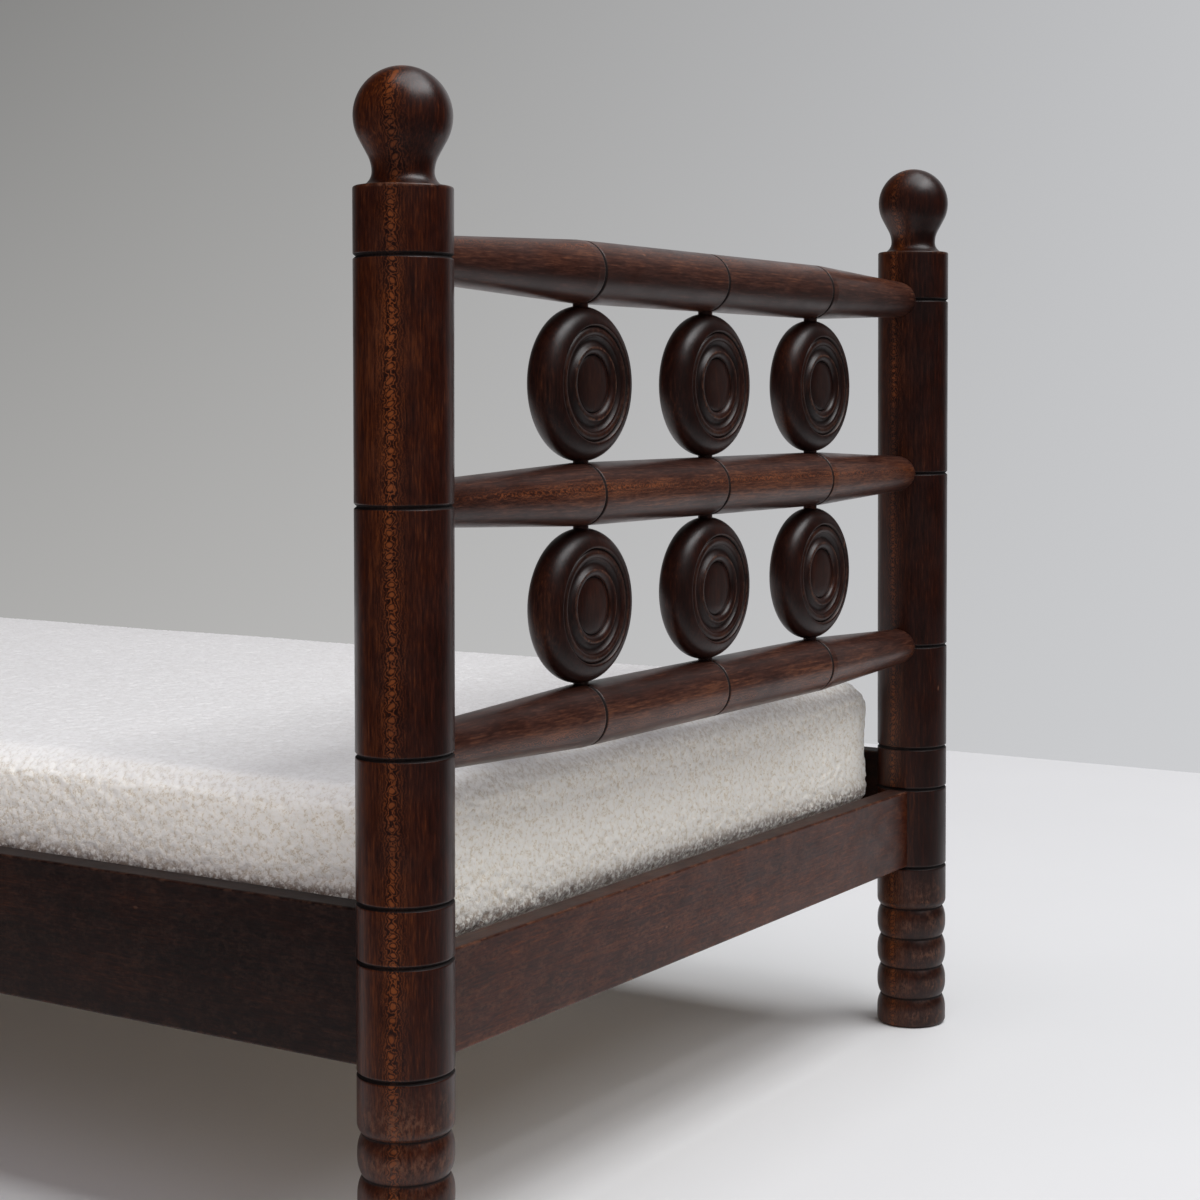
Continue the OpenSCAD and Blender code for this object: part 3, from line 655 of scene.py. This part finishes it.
def wood_group():
    """Stained beech in its plank's coordinates: streaks, growth layers, rubbed ridges, and the painted shade
    it is given for grooves, hollows and boards' tops.
    """
    tree = bpy.data.node_groups.new("stained_beech", "ShaderNodeTree")
    tree.interface.new_socket("Grain", in_out="INPUT", socket_type="NodeSocketVector")
    for name in WOOD_MARKS:
        tree.interface.new_socket(name, in_out="INPUT", socket_type="NodeSocketFloat")
    for name, kind in zip(WOOD_LOOKS, ("Color", "Float", "Float")):
        tree.interface.new_socket(name, in_out="OUTPUT", socket_type="NodeSocket" + kind)
    n = Nodes(tree)
    given = n.add("NodeGroupInput").outputs
    flecks = n.noise(n.scaled(given["Grain"], FLECK_GRAIN), 2, 0.6)
    streaks = n.noise(n.scaled(given["Grain"], STREAK_GRAIN), 4, 0.62)
    clouds = n.noise(n.scaled(given["Grain"], CLOUD_GRAIN), 3, 0.55)
    tone = wood_tone(n, given, flecks, streaks, clouds)
    orange, dark = ring_chain(n, given, clouds)
    rubbed = rubbed_wood(n, given)
    nicks = single_nicks(n, given)
    colour = n.mix(given["Faded"], n.ramp(tone, DARK_STOPS), n.ramp(tone, FADED_STOPS))
    colour = n.mix(dark, colour, DARK_STOPS[0][1])
    colour = n.mix(orange, colour, FIGURE_ORANGE)
    colour = n.mix(n.times(rubbed, RUBBED_SHOWN), colour, WORN_TAN)
    colour = n.mix(n.times(nicks, NICK_SHOWN), colour, WORN_TAN)
    # Painted shade: darker in grooves and hollows, and on boards' tops
    colour = n.mix(n.times(given["Painted_shade"], PAINTED_SHADE_SHOWN), colour, PAINTED_SHADE_BLACK)
    colour = n.resized(colour, given["Shade"])
    height = n.plus(n.times(flecks, 0.35), n.times(streaks, 0.65))
    height = n.minus(height, n.times(nicks, 0.8))
    looks = {"Colour": colour, "Roughness": wood_roughness(n, given, rubbed), "Height": height}
    n.add("NodeGroupOutput", looks)
    return tree


def wood_from_attributes(group):
    """Stained beech for the turned pieces, whose meshes store their grain and marks."""
    material, n = new_material("stained_beech")
    wood = n.add("ShaderNodeGroup", node_tree=group)
    n.tree.links.new(n.attribute("grain").outputs["Vector"], wood.inputs["Grain"])
    for name in WOOD_MARKS:
        n.tree.links.new(n.attribute(name.lower()).outputs["Fac"], wood.inputs[name])
    looks = [wood.outputs[name] for name in WOOD_LOOKS]
    n.shader(*looks, WOOD_BUMP, Specular_IOR_Level=WOOD_SHINE)
    return material


def wood_for_board(group, node, long_axis, shade, seed):
    """Stained beech for a CAD board: its grain runs along long_axis, and its long edges are rubbed."""
    low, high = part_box(node)
    centre, half = (low + high) / 2, (high - low) / 2
    cross = [axis for axis in range(3) if axis != long_axis]
    material, n = new_material("stained_beech_" + node)
    parts = n.parts(n.vector_math("SUBTRACT", n.place(), centre))
    away = [n.minus(n.math("ABSOLUTE", parts[axis]), half[axis]) for axis in cross]
    edge = n.math("SQRT", n.plus(*[n.times(distance, distance) for distance in away]))
    wear = n.smooth(edge, *EDGE_WEAR, BOARD_WEAR, 1.0)
    turned_parts = {0: parts[2], 1: parts[cross[0]], 2: parts[long_axis]}
    grain = n.add("ShaderNodeCombineXYZ", turned_parts).outputs[0]
    shift = tuple(step * (seed + 1) for step in PLANK_SHIFT)
    grain = n.vector_math("ADD", grain, shift)
    facing_up = n.parts(n.add("ShaderNodeNewGeometry").outputs["Normal"])[2]
    wood = n.add("ShaderNodeGroup", node_tree=group)
    n.tree.links.new(grain, wood.inputs["Grain"])
    n.tree.links.new(wear, wood.inputs["Wear"])
    # Painted shade: faces that look up are painted darker and duller, as the cover's bulge shades them
    n.tree.links.new(n.smooth(facing_up, 0.7, 0.95, 0.0, 0.5), wood.inputs["Painted_shade"])
    # Boards show no chain of rings, so they lie a metre off its line
    wood.inputs["Lateral"].default_value = 1.0
    wood.inputs["Figure"].default_value = 0.8
    wood.inputs["Shade"].default_value = shade
    looks = [wood.outputs[name] for name in WOOD_LOOKS]
    n.shader(*looks, WOOD_BUMP, Specular_IOR_Level=WOOD_SHINE)
    return material


# Hidden pieces' materials

PINE_STOPS = [(0.15, (0.62, 0.49, 0.34)), (0.5, (0.56, 0.43, 0.28)), (0.85, (0.42, 0.28, 0.16))]
KNOT_BROWN = (0.16, 0.07, 0.03)
STEEL_STOPS = [(0.3, (0.42, 0.43, 0.45)), (0.7, (0.60, 0.61, 0.62))]
WEBBING_STOPS = [(0.0, (0.50, 0.45, 0.36)), (1.0, (0.76, 0.71, 0.61))]
# Pitch of the webbing's ribs and cords, in metres
RIB_PITCH = 0.0021
CORD_PITCH = 0.0016


def pine_material():
    """Planed pine with lengthwise rings and a few knots."""
    material, n = new_material("planed_pine")
    place = n.place()
    rings = n.noise(n.scaled(place, (1.2, 26, 60)), 3, 0.55, 0.6)
    lines = n.math("SINE", n.times(rings, 60))
    fibres = n.noise(n.scaled(place, (18, 900, 900)), 3, 0.6)
    tone = n.plus(n.smooth(lines, -1, 1, 0, 0.6), n.times(fibres, 0.4))
    knots = n.add("ShaderNodeTexVoronoi", {"Vector": n.scaled(place, (4.2, 16, 16)), "Scale": 1.0})
    near_knot = n.smooth(knots.outputs["Distance"], 0.14, 0.06)
    colour = n.mix(near_knot, n.ramp(tone, PINE_STOPS), KNOT_BROWN)
    n.shader(colour, n.smooth(fibres, 0.3, 0.7, 0.5, 0.66), tone, 0.0002)
    return material


def steel_material():
    """Brushed steel with a zinc coat's cloudy spangle."""
    material, n = new_material("zinc_plated_steel")
    place = n.place()
    spangle = n.noise(n.scaled(place, (160, 160, 160)), 3, 0.6)
    brushed = n.noise(n.scaled(place, (90, 90, 2600)), 2, 0.5)
    rough = n.smooth(brushed, 0.3, 0.7, 0.28, 0.46)
    n.shader(n.ramp(spangle, STEEL_STOPS), rough, brushed, 0.00004, Metallic=1.0)
    return material


def webbing_material():
    """Woven tape: ribs crossed by cords, with fuzz."""
    material, n = new_material("woven_webbing")
    place = n.place()
    parts = n.parts(place)
    ribs = n.math("SINE", n.times(parts[1], 2 * math.pi / RIB_PITCH))
    cords = n.math("SINE", n.times(parts[0], 2 * math.pi / CORD_PITCH))
    fuzz = n.noise(n.scaled(place, (1500, 1500, 1500)), 2, 0.6)
    height = n.plus(n.times(n.times(ribs, cords), 0.5), n.times(fuzz, 0.4))
    colour = n.ramp(n.smooth(height, -0.4, 0.9), WEBBING_STOPS)
    n.shader(colour, n.smooth(fuzz, 0.3, 0.7, 0.78, 0.95), height, 0.0004)
    return material


# Cream cover

# Cells of the pile's loops, curls and yarn fibres, per metre
LOOPS_PER_METRE = 205.0
CURLS_PER_METRE = 430
FIBRES_PER_METRE = 1300
# How far the loops wander off their cells, in metres, and how often
LOOP_WANDER = 0.006
LOOP_WANDERS_PER_METRE = 210.0
LOOP_SHARE = 0.50
CURL_SHARE = 0.34
FIBRE_SHARE = 0.16
# Colours on top and at the sides: the sides are paler and warmer, partly from the open pile and partly from
# painted light
PRESSED_STOPS = [(0.12, (0.76, 0.745, 0.725)), (0.48, (0.88, 0.875, 0.865))]
OPEN_PILE_AND_LIGHT_STOPS = [(0.10, (0.74, 0.65, 0.50)), (0.32, (0.97, 0.93, 0.82)), (0.60, (1.0, 0.975, 0.89))]
# Painted shade on the cover, brown in the pile's gaps, along the boards' tops and under the bottom spindle
COVER_SHADE_BROWN = (0.235, 0.155, 0.11)
PILE_BUMP = 0.0006
# Share of the relief that is left where the pile is pressed flat
PRESSED_RELIEF = 0.40


def pile_loops(n, place):
    """The loops' crowns, on cells whose edges wander."""
    wander = n.add("ShaderNodeTexNoise", {"Vector": place, "Scale": LOOP_WANDERS_PER_METRE, "Detail": 2.0})
    bent = n.vector_math("ADD", place, n.resized(wander.outputs["Color"], LOOP_WANDER))
    inputs = {"Vector": bent, "Scale": LOOPS_PER_METRE, "Smoothness": 0.5}
    cells = n.add("ShaderNodeTexVoronoi", inputs, feature="SMOOTH_F1")
    return n.smooth(cells.outputs["Distance"], 0.70, 0.15)


def boucle_material():
    """Cream looped yarn: small loops, pressed together on top and open at the sides, with fine fibres, and
    light painted onto the sides as a paler, warmer colour.
    """
    material, n = new_material("cream_boucle")
    place = n.place()
    fibres = n.noise(n.scaled(place, (FIBRES_PER_METRE,) * 3), 3, 0.65)
    curls = n.noise(n.scaled(place, (CURLS_PER_METRE,) * 3), 2, 0.6, 1.0)
    height = n.times(pile_loops(n, place), LOOP_SHARE)
    height = n.plus(height, n.times(n.smooth(curls, 0.35, 0.65), CURL_SHARE))
    height = n.plus(height, n.times(fibres, FIBRE_SHARE))
    side = n.attribute("side").outputs["Fac"]
    # The sides' colour holds painted light as well as the open pile
    colour = n.mix(side, n.ramp(height, PRESSED_STOPS), n.ramp(height, OPEN_PILE_AND_LIGHT_STOPS))
    cover_shade = n.attribute("cover_shade").outputs["Fac"]
    # Painted shade: the pile's gaps turn brown where shade falls near the wood
    shade_in_gaps = n.times(cover_shade, n.smooth(height, 0.72, 0.26, 0.12, 0.92))
    colour = n.mix(shade_in_gaps, colour, COVER_SHADE_BROWN)
    height = n.times(height, n.plus(PRESSED_RELIEF, n.times(side, 1 - PRESSED_RELIEF)))
    rough = n.smooth(fibres, 0.3, 0.7, 0.86, 0.98)
    n.shader(colour, rough, height, PILE_BUMP, Sheen_Weight=0.60, Sheen_Roughness=0.5)
    return material


# Turned pieces

UP = ((1, 0, 0), (0, 1, 0), (0, 0, 1))
ALONG_X = ((0, 1, 0), (0, 0, 1), (1, 0, 0))
ALONG_Y = ((0, 0, 1), (1, 0, 0), (0, 1, 0))
# Directions of each post's flat-sawn side, in degrees from +X towards +Y
POST_TURNS = {"head_left": 203.0, "head_right": 172.0, "foot_left": 118.0, "foot_right": 41.0}
# Stain of each post: no two took it alike
POST_SHADES = {"head_left": 1.0, "head_right": 0.78, "foot_left": 0.9, "foot_right": 0.95}
# Directions of each spindle's flat-sawn side, in degrees from +Y upwards
SPINDLE_TURNS = {"bottom": 205.0, "middle": 168.0, "top": 128.0}
# Planks are numbered from these
SPINDLE_SEED = 7
DISC_SEED = 21
BOARD_SEED = 40


def turned_piece(node, outline, segments, axes, face, along, seed, material, aside, shade, faded):
    """A finely turned piece in place of a CAD node, on the same axis."""
    origin = centre_of(node)
    # A post's outline starts at the floor
    if axes == UP:
        origin.z = 0.0
    obj, marks = lathe("turned_" + node, outline, segments, origin, axes)
    give_grain(obj, marks, origin, face, along, seed, aside, shade, faded)
    paint(obj, material)
    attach(obj, "bed_frame")
    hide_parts(node)


def make_posts(material):
    outline = post_outline()
    for seed, (corner, turn) in enumerate(POST_TURNS.items()):
        turn = math.radians(turn)
        face = (math.cos(turn), math.sin(turn), 0)
        look = (material, 0, POST_SHADES[corner], 0)
        turned_piece(corner + "_post", outline, POST_SEGMENTS, UP, face, (0, 0, 1), seed, *look)


def make_spindles(material):
    outline = spindle_outline()
    look = (material, SPINDLE_ASIDE, SPINDLE_SHADE, SPINDLE_FADED)
    for i, end in enumerate(ENDS):
        for j, level in enumerate(LEVELS):
            turn = math.radians(SPINDLE_TURNS[level])
            face = (0, math.cos(turn), math.sin(turn))
            name, seed = f"{end}_{level}_spindle", SPINDLE_SEED + len(LEVELS) * i + j
            turned_piece(name, outline, SPINDLE_SEGMENTS, ALONG_X, face, (1, 0, 0), seed, *look)


def make_discs(material):
    outline = disc_outline()
    look = (material, DISC_ASIDE, DISC_SHADE, DISC_FADED)
    names = [f"{end}_{row}_{place}_disc" for end in ENDS for row in ROWS for place in PLACES]
    for seed, name in enumerate(names, DISC_SEED):
        turned_piece(name, outline, DISC_SEGMENTS, ALONG_Y, (1, 0, 0), (0, 0, 1), seed, *look)


# Mattress, in metres

NUB_SIZE = 0.0063
NUB_HEIGHT = 0.0033
# Share of the nubs' height that is left on top
TOP_NUBS = 0.45
SIDE_BULGE = 0.0060
END_BULGE = 0.0030
# Boards that the cover settles over: axis, node, bulge, and how far from a corner the bulge starts
SHELVES = ((0, "left_side_rail", SIDE_BULGE, 0.085), (1, "head_end_board", END_BULGE, 0.075))
# Length beside a corner over which the bulge grows
CORNER_FADE = 0.05
# Heights over a board's top at which the bulge starts, is full, and ends
BULGE_START = -0.030
BULGE_FULL = 0.010
BULGE_END = 0.095
# Distances from a side at which the bulge and the painted shade start and are full
BULGE_BAND = (0.05, 0.01)
COVER_SHADE_BAND = (0.03, 0.01)
END_COVER_SHADE_BAND = (0.03, 0.008)
# Heights over a board's top at which the painted shade starts and is full, from above and from below
COVER_SHADE_TOP = (0.011, -0.005)
COVER_SHADE_LOW = (-0.034, -0.016)
# Start of the cloth inside the CAD solid, furthest swell, and size of the cloth's mesh
START_INSET = 0.0050
SWELL = 0.0028
VOXEL = 0.012
CLOTH_FRAMES = 20
SWAY_DEPTH = 0.0011
# Height over the underside at which the waves reach their full depth
SWAY_FULL = 0.05
# Waves of the filling: radians per metre along x and y, and phase, with SWAY_RISE along z
SWAY_WAVES = ((3.1, 7.3, 0.4), (6.7, -4.9, 2.1), (-11.3, 5.7, 4.4), (9.1, 13.7, 1.2), (17.9, -15.1, 3.3))
SWAY_RISE = 9
# Height below the bottom spindle over which its shadow is painted on the cover, and how dark it is
SPINDLE_SHADOW_DROP = 0.042
SPINDLE_SHADOW_STRENGTH = 0.9
CELL_PRIMES = (73856093, 19349663, 83492791)
SALT_PRIME = 2654435761
MIX_PRIME = 1274126177
LOW_24_BITS = 0xFFFFFF


def cell_random(cells, salt):
    """A number from 0 to 1 for each cell, the same on each run."""
    mixed = salt * SALT_PRIME
    for axis, prime in enumerate(CELL_PRIMES):
        mixed = mixed ^ (cells[:, axis] * prime)
    mixed = (mixed ^ (mixed >> 13)) * MIX_PRIME
    return ((mixed ^ (mixed >> 16)) & LOW_24_BITS) / LOW_24_BITS


def nub_height(points, size):
    """Height of the pile's nubs at each point, from 0 between them to 1 on their crowns."""
    scaled = points / size
    home = np.floor(scaled).astype(np.int64)
    best = np.full(len(points), 9.0)
    for dx in (-1, 0, 1):
        for dy in (-1, 0, 1):
            for dz in (-1, 0, 1):
                cell = home + np.array([dx, dy, dz])
                spot = cell + np.stack([cell_random(cell, salt) for salt in (1, 2, 3)], 1)
                reach = 0.55 + 0.6 * cell_random(cell, 4)
                best = np.minimum(best, np.sum((scaled - spot) ** 2, 1) / reach)
    return np.clip(1 - best, 0, 1) ** 0.7


def apply_modifiers(obj):
    bpy.context.view_layer.update()
    evaluated = obj.evaluated_get(bpy.context.evaluated_depsgraph_get())
    mesh = bpy.data.meshes.new_from_object(evaluated)
    obj.modifiers.clear()
    obj.data = mesh


def mattress_box():
    """Centre and half size of the CAD mattress."""
    low, high = (np.array(corner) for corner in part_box("mattress"))
    return (low + high) / 2, (high - low) / 2


def mattress_core(name):
    """A copy of the CAD mattress, evenly remeshed and a little smaller."""
    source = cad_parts["mattress"]
    obj = bpy.data.objects.new(name, source.data.copy())
    bpy.context.scene.collection.objects.link(obj)
    remesh = obj.modifiers.new("even", "REMESH")
    remesh.mode = "VOXEL"
    remesh.voxel_size = VOXEL
    apply_modifiers(obj)
    centre, half = mattress_box()
    points = coordinates(obj.data)
    set_coordinates(obj.data, centre + (points - centre) * (1 - START_INSET / half))
    return obj


def add_cloth(obj):
    """A firm cover under pressure from its filling, with no weight."""
    cloth = obj.modifiers.new("fill", "CLOTH")
    cloth.settings.quality = 5
    cloth.settings.mass = 0.4
    cloth.settings.tension_stiffness = 18
    cloth.settings.compression_stiffness = 12
    cloth.settings.bending_stiffness = 0.6
    cloth.settings.shrink_min = -0.012
    cloth.settings.use_pressure = True
    cloth.settings.uniform_pressure_force = 4
    cloth.settings.effector_weights.gravity = 0
    cloth.collision_settings.use_collision = False
    cloth.point_cache.frame_start, cloth.point_cache.frame_end = 1, CLOTH_FRAMES


def swell(obj):
    """Lets the cover swell over its filling by cloth simulation, no further than SWELL."""
    start = coordinates(obj.data)
    outward = vertex_normals(obj.data)
    add_cloth(obj)
    scene = bpy.context.scene
    scene.frame_start, scene.frame_end = 1, CLOTH_FRAMES
    for step in range(1, CLOTH_FRAMES + 1):
        scene.frame_set(step)
    apply_modifiers(obj)
    scene.frame_set(1)
    out = np.sum((coordinates(obj.data) - start) * outward, 1)
    capped = SWELL * np.tanh(out / SWELL)
    set_coordinates(obj.data, start + outward * capped[:, None])


def eased(values, start, end):
    t = np.clip((values - start) / (end - start), 0, 1)
    return t * t * (3 - 2 * t)


def add_hollows(mesh):
    """Slow hollows and rises of the filling, which fade out towards the underside."""
    points = coordinates(mesh)
    lifted = np.clip((points[:, 2] - points[:, 2].min()) / SWAY_FULL, 0, 1)
    across, up = points[:, :2], SWAY_RISE * points[:, 2]
    waves = sum(np.sin(kx * across[:, 0] + ky * across[:, 1] + up + phase) for kx, ky, phase in SWAY_WAVES)
    depth = SWAY_DEPTH * (waves / len(SWAY_WAVES) - 1) * lifted
    set_coordinates(mesh, points + vertex_normals(mesh) * depth[:, None])


def near_side(points, axis, band):
    """How near each point is to the mattress's sides across an axis, from 0 to 1."""
    half = mattress_box()[1]
    return eased(np.abs(points[:, axis]), half[axis] - band[0], half[axis] - band[1])


def bulge(points):
    """How far the cover settles outwards over the rails and end boards, as vectors."""
    half = mattress_box()[1]
    push = np.zeros_like(points)
    for axis, board, reach, clear in SHELVES:
        other = 1 - axis
        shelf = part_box(board)[1].z
        amount = eased(points[:, 2], shelf + BULGE_START, shelf)
        amount *= eased(points[:, 2], shelf + BULGE_END, shelf + BULGE_FULL)
        amount *= near_side(points, axis, BULGE_BAND)
        amount *= eased(half[other] - np.abs(points[:, other]), clear, clear + CORNER_FADE)
        push[:, axis] = np.sign(points[:, axis]) * amount * reach
    return push


def cover_shade_amount(points):
    """How much shade is painted on the cover's pile at each point, from 0 to 1: along the boards' tops and as
    the bottom spindle's shadow.
    """
    total = np.zeros(len(points))
    for axis, board, _, _ in SHELVES:
        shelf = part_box(board)[1].z
        band = eased(points[:, 2], shelf + COVER_SHADE_TOP[0], shelf + COVER_SHADE_TOP[1])
        band *= eased(points[:, 2], shelf + COVER_SHADE_LOW[0], shelf + COVER_SHADE_LOW[1])
        total = np.maximum(total, near_side(points, axis, COVER_SHADE_BAND) * band)
    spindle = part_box("head_bottom_spindle")[0].z
    # Painted shadow of the bottom spindle on the cover's end
    rubbed = near_side(points, 1, END_COVER_SHADE_BAND) * eased(points[:, 2], spindle - SPINDLE_SHADOW_DROP, spindle)
    return np.maximum(total, SPINDLE_SHADOW_STRENGTH * rubbed)


def raise_pile(mesh):
    """Bulges the cover over the boards, raises its nubs, and stores where it is open, with painted light, and
    where shade is painted on it.
    """
    points, normals = coordinates(mesh), vertex_normals(mesh)
    points += bulge(points)
    side = 1 - np.clip(normals[:, 2], 0, 1) ** 2
    give_attribute(mesh, "side", "FLOAT", side)
    give_attribute(mesh, "cover_shade", "FLOAT", cover_shade_amount(points))
    nubs = nub_height(points, NUB_SIZE) * (TOP_NUBS + (1 - TOP_NUBS) * side)
    set_coordinates(mesh, points + normals * (nubs * NUB_HEIGHT)[:, None])


def make_mattress(material):
    obj = mattress_core("boucle_mattress")
    swell(obj)
    add_hollows(obj.data)
    finer = obj.modifiers.new("finer", "SUBSURF")
    finer.levels = finer.render_levels = 2
    apply_modifiers(obj)
    obj.data.shade_smooth()
    raise_pile(obj.data)
    paint(obj, material)
    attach(obj, "mattress")
    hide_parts("mattress")


# Pieces that stay as the CAD has them

def dress_boards(group):
    """Stained beech on the end boards, side rails and pegs: for each, the grain's axis and the stain, with
    painted shade on the rails and painted light on the end boards.
    """
    # The end boards' stain holds painted light, and the rails' stain painted shade
    boards = {end + "_end_board": (0, BOARD_STAIN_AND_PAINTED_LIGHT) for end in ENDS}
    boards.update({side + "_side_rail": (1, RAIL_STAIN_AND_PAINTED_SHADE) for side in SIDES})
    boards.update({end + "_disc_pegs": (2, DISC_SHADE) for end in ENDS})
    for seed, (node, (long_axis, shade)) in enumerate(boards.items(), BOARD_SEED):
        paint(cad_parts[node], wood_for_board(group, node, long_axis, shade, seed))


def dress_hidden_nodes():
    pine, steel, webbing = pine_material(), steel_material(), webbing_material()
    for name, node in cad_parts.items():
        if name.endswith(("_plate", "_screws", "_tacks")):
            paint(node, steel)
        elif name.endswith("_tape"):
            paint(node, webbing)
        elif name.startswith("slat_") or name.endswith("_ledger"):
            paint(node, pine)


# Stage

def floor_material():
    """Pale floor, which reflections see fade out on the two sides that the dim room lies on."""
    material, n = new_material("pale_floor")
    place = n.place()
    parts = n.parts(place)
    to_left = n.minus(cad_low.x, parts[0])
    ahead = n.plus(n.times(parts[0], FLOOR_FADE_SLANT), parts[1])
    to_front = n.minus(cad_low.y - FLOOR_FADE_START, ahead)
    lit = n.smooth(n.math("MAXIMUM", to_left, to_front), 0.0, FLOOR_FADE, 0.85, DIM_ROOM)
    glossy = n.add("ShaderNodeLightPath").outputs["Is Glossy Ray"]
    shade = n.mix(glossy, (1, 1, 1), n.ramp(lit, [(0.0, (0, 0, 0)), (1.0, (1, 1, 1))]))
    clouds = n.noise(n.scaled(place, (FLOOR_CLOUDS_PER_METRE,) * 3), 3, 0.5)
    colour = n.mix(1.0, n.ramp(clouds, FLOOR_STOPS), shade, "MULTIPLY")
    inputs = {"Base Color": colour, "Roughness": 0.6, "Specular IOR Level": 0.2}
    principled = n.add("ShaderNodeBsdfPrincipled", inputs)
    n.add("ShaderNodeOutputMaterial", {"Surface": principled.outputs[0]})
    return material


def make_floor():
    corners = ((-1, -1), (1, -1), (1, 1), (-1, 1))
    points = [(x * FLOOR_HALF_X, y * FLOOR_HALF_Y, 0) for x, y in corners]
    floor = new_object("floor", points, [(0, 1, 2, 3)])
    paint(floor, floor_material())


def wall_light(n, sideways, height):
    """Pale walls, brighter and cooler on the right."""
    right = n.limited(sideways, *WALL_RIGHT_RANGE)
    up = n.limited(height, *WALL_UP_RANGE)
    level = n.plus(WALL_LEVEL, n.times(right, WALL_LEVEL_RIGHT))
    slope = n.plus(WALL_SLOPE, n.times(right, WALL_SLOPE_RIGHT))
    level = n.plus(level, n.times(slope, up))
    return n.resized(n.ramp(n.smooth(right, -0.28, 0.20), WALL_TINTS), level)


def mirrored_room(n, walls, forward, sideways, height):
    """What reflections see: the walls ahead, which fade into a dim room at the sides, behind and above."""
    room = n.smooth(forward, 0.45, 0.90, DIM_ROOM, BRIGHT_ROOM)
    room = n.times(room, n.smooth(sideways, -0.95, -0.35, 0.3, 1.0))
    room = n.times(room, n.smooth(sideways, 0.45, 0.85, 1.0, 0.45))
    ceiling = n.smooth(height, 0.35, 0.8, 1.0, 0.5)
    return n.resized(walls, n.times(room, ceiling))


def plain_fill(n, from_left, height):
    """Even light from all round at the horizon and below it, and from the left higher up."""
    low = n.smooth(height, 0.03, 0.30, LOW_FILL, HIGH_FILL)
    side = n.times(n.limited(from_left, 0.0, 1.0), n.smooth(height, 0.25, 0.65, 0.10, 1.0))
    return n.resized(FILL, n.plus(low, side))


def make_world():
    """Pale walls for what the camera and reflections see, a dim room behind the camera, and a plain fill."""
    world = bpy.data.worlds.new("studio")
    bpy.context.scene.world = world
    world.use_nodes = True
    n = Nodes(world.node_tree)
    direction = n.add("ShaderNodeTexCoord").outputs["Generated"]
    yaw = math.radians(CAMERA_YAW)
    forward = n.along(direction, (math.sin(yaw), math.cos(yaw), 0))
    sideways = n.along(direction, (math.cos(yaw), -math.sin(yaw), 0))
    height = n.along(direction, (0, 0, 1))
    walls = wall_light(n, sideways, height)
    mirrored = mirrored_room(n, walls, forward, sideways, height)
    fill = plain_fill(n, n.along(direction, (-1, 0, 0)), height)
    path = n.add("ShaderNodeLightPath").outputs
    glossy = n.math("MAXIMUM", path["Is Glossy Ray"], path["Is Transmission Ray"])
    colour = n.mix(path["Is Camera Ray"], n.mix(glossy, fill, mirrored), walls)
    background = n.add("ShaderNodeBackground", {"Color": colour, "Strength": 1.0})
    n.add("ShaderNodeOutputWorld", {"Surface": background.outputs[0]})


def make_light(name, size, power, place):
    """A level panel that shines straight down."""
    data = bpy.data.lights.new(name, "AREA")
    data.shape = "RECTANGLE"
    data.size, data.size_y = size
    data.energy = power
    data.color = DAYLIGHT
    light = bpy.data.objects.new(name, data)
    light.location = place
    bpy.context.scene.collection.objects.link(light)


def make_camera():
    data = bpy.data.cameras.new("camera")
    data.sensor_width = SENSOR_MM
    data.lens = SENSOR_MM * FOCAL_PIXELS / IMAGE_PIXELS
    data.shift_x, data.shift_y = SHIFT
    camera = bpy.data.objects.new("camera", data)
    camera.location = CAMERA_AT
    camera.rotation_euler = (math.radians(90 + CAMERA_PITCH), 0, -math.radians(CAMERA_YAW))
    bpy.context.scene.collection.objects.link(camera)
    bpy.context.scene.camera = camera


make_camera()
group = wood_group()
turned = wood_from_attributes(group)
make_posts(turned)
make_spindles(turned)
make_discs(turned)
dress_boards(group)
dress_hidden_nodes()
make_mattress(boucle_material())
make_floor()
make_world()
make_light("skylight", *SKYLIGHT)
make_light("brighter_side_of_skylight", *BRIGHTER_SIDE)
bpy.context.scene.view_settings.view_transform = "Standard"
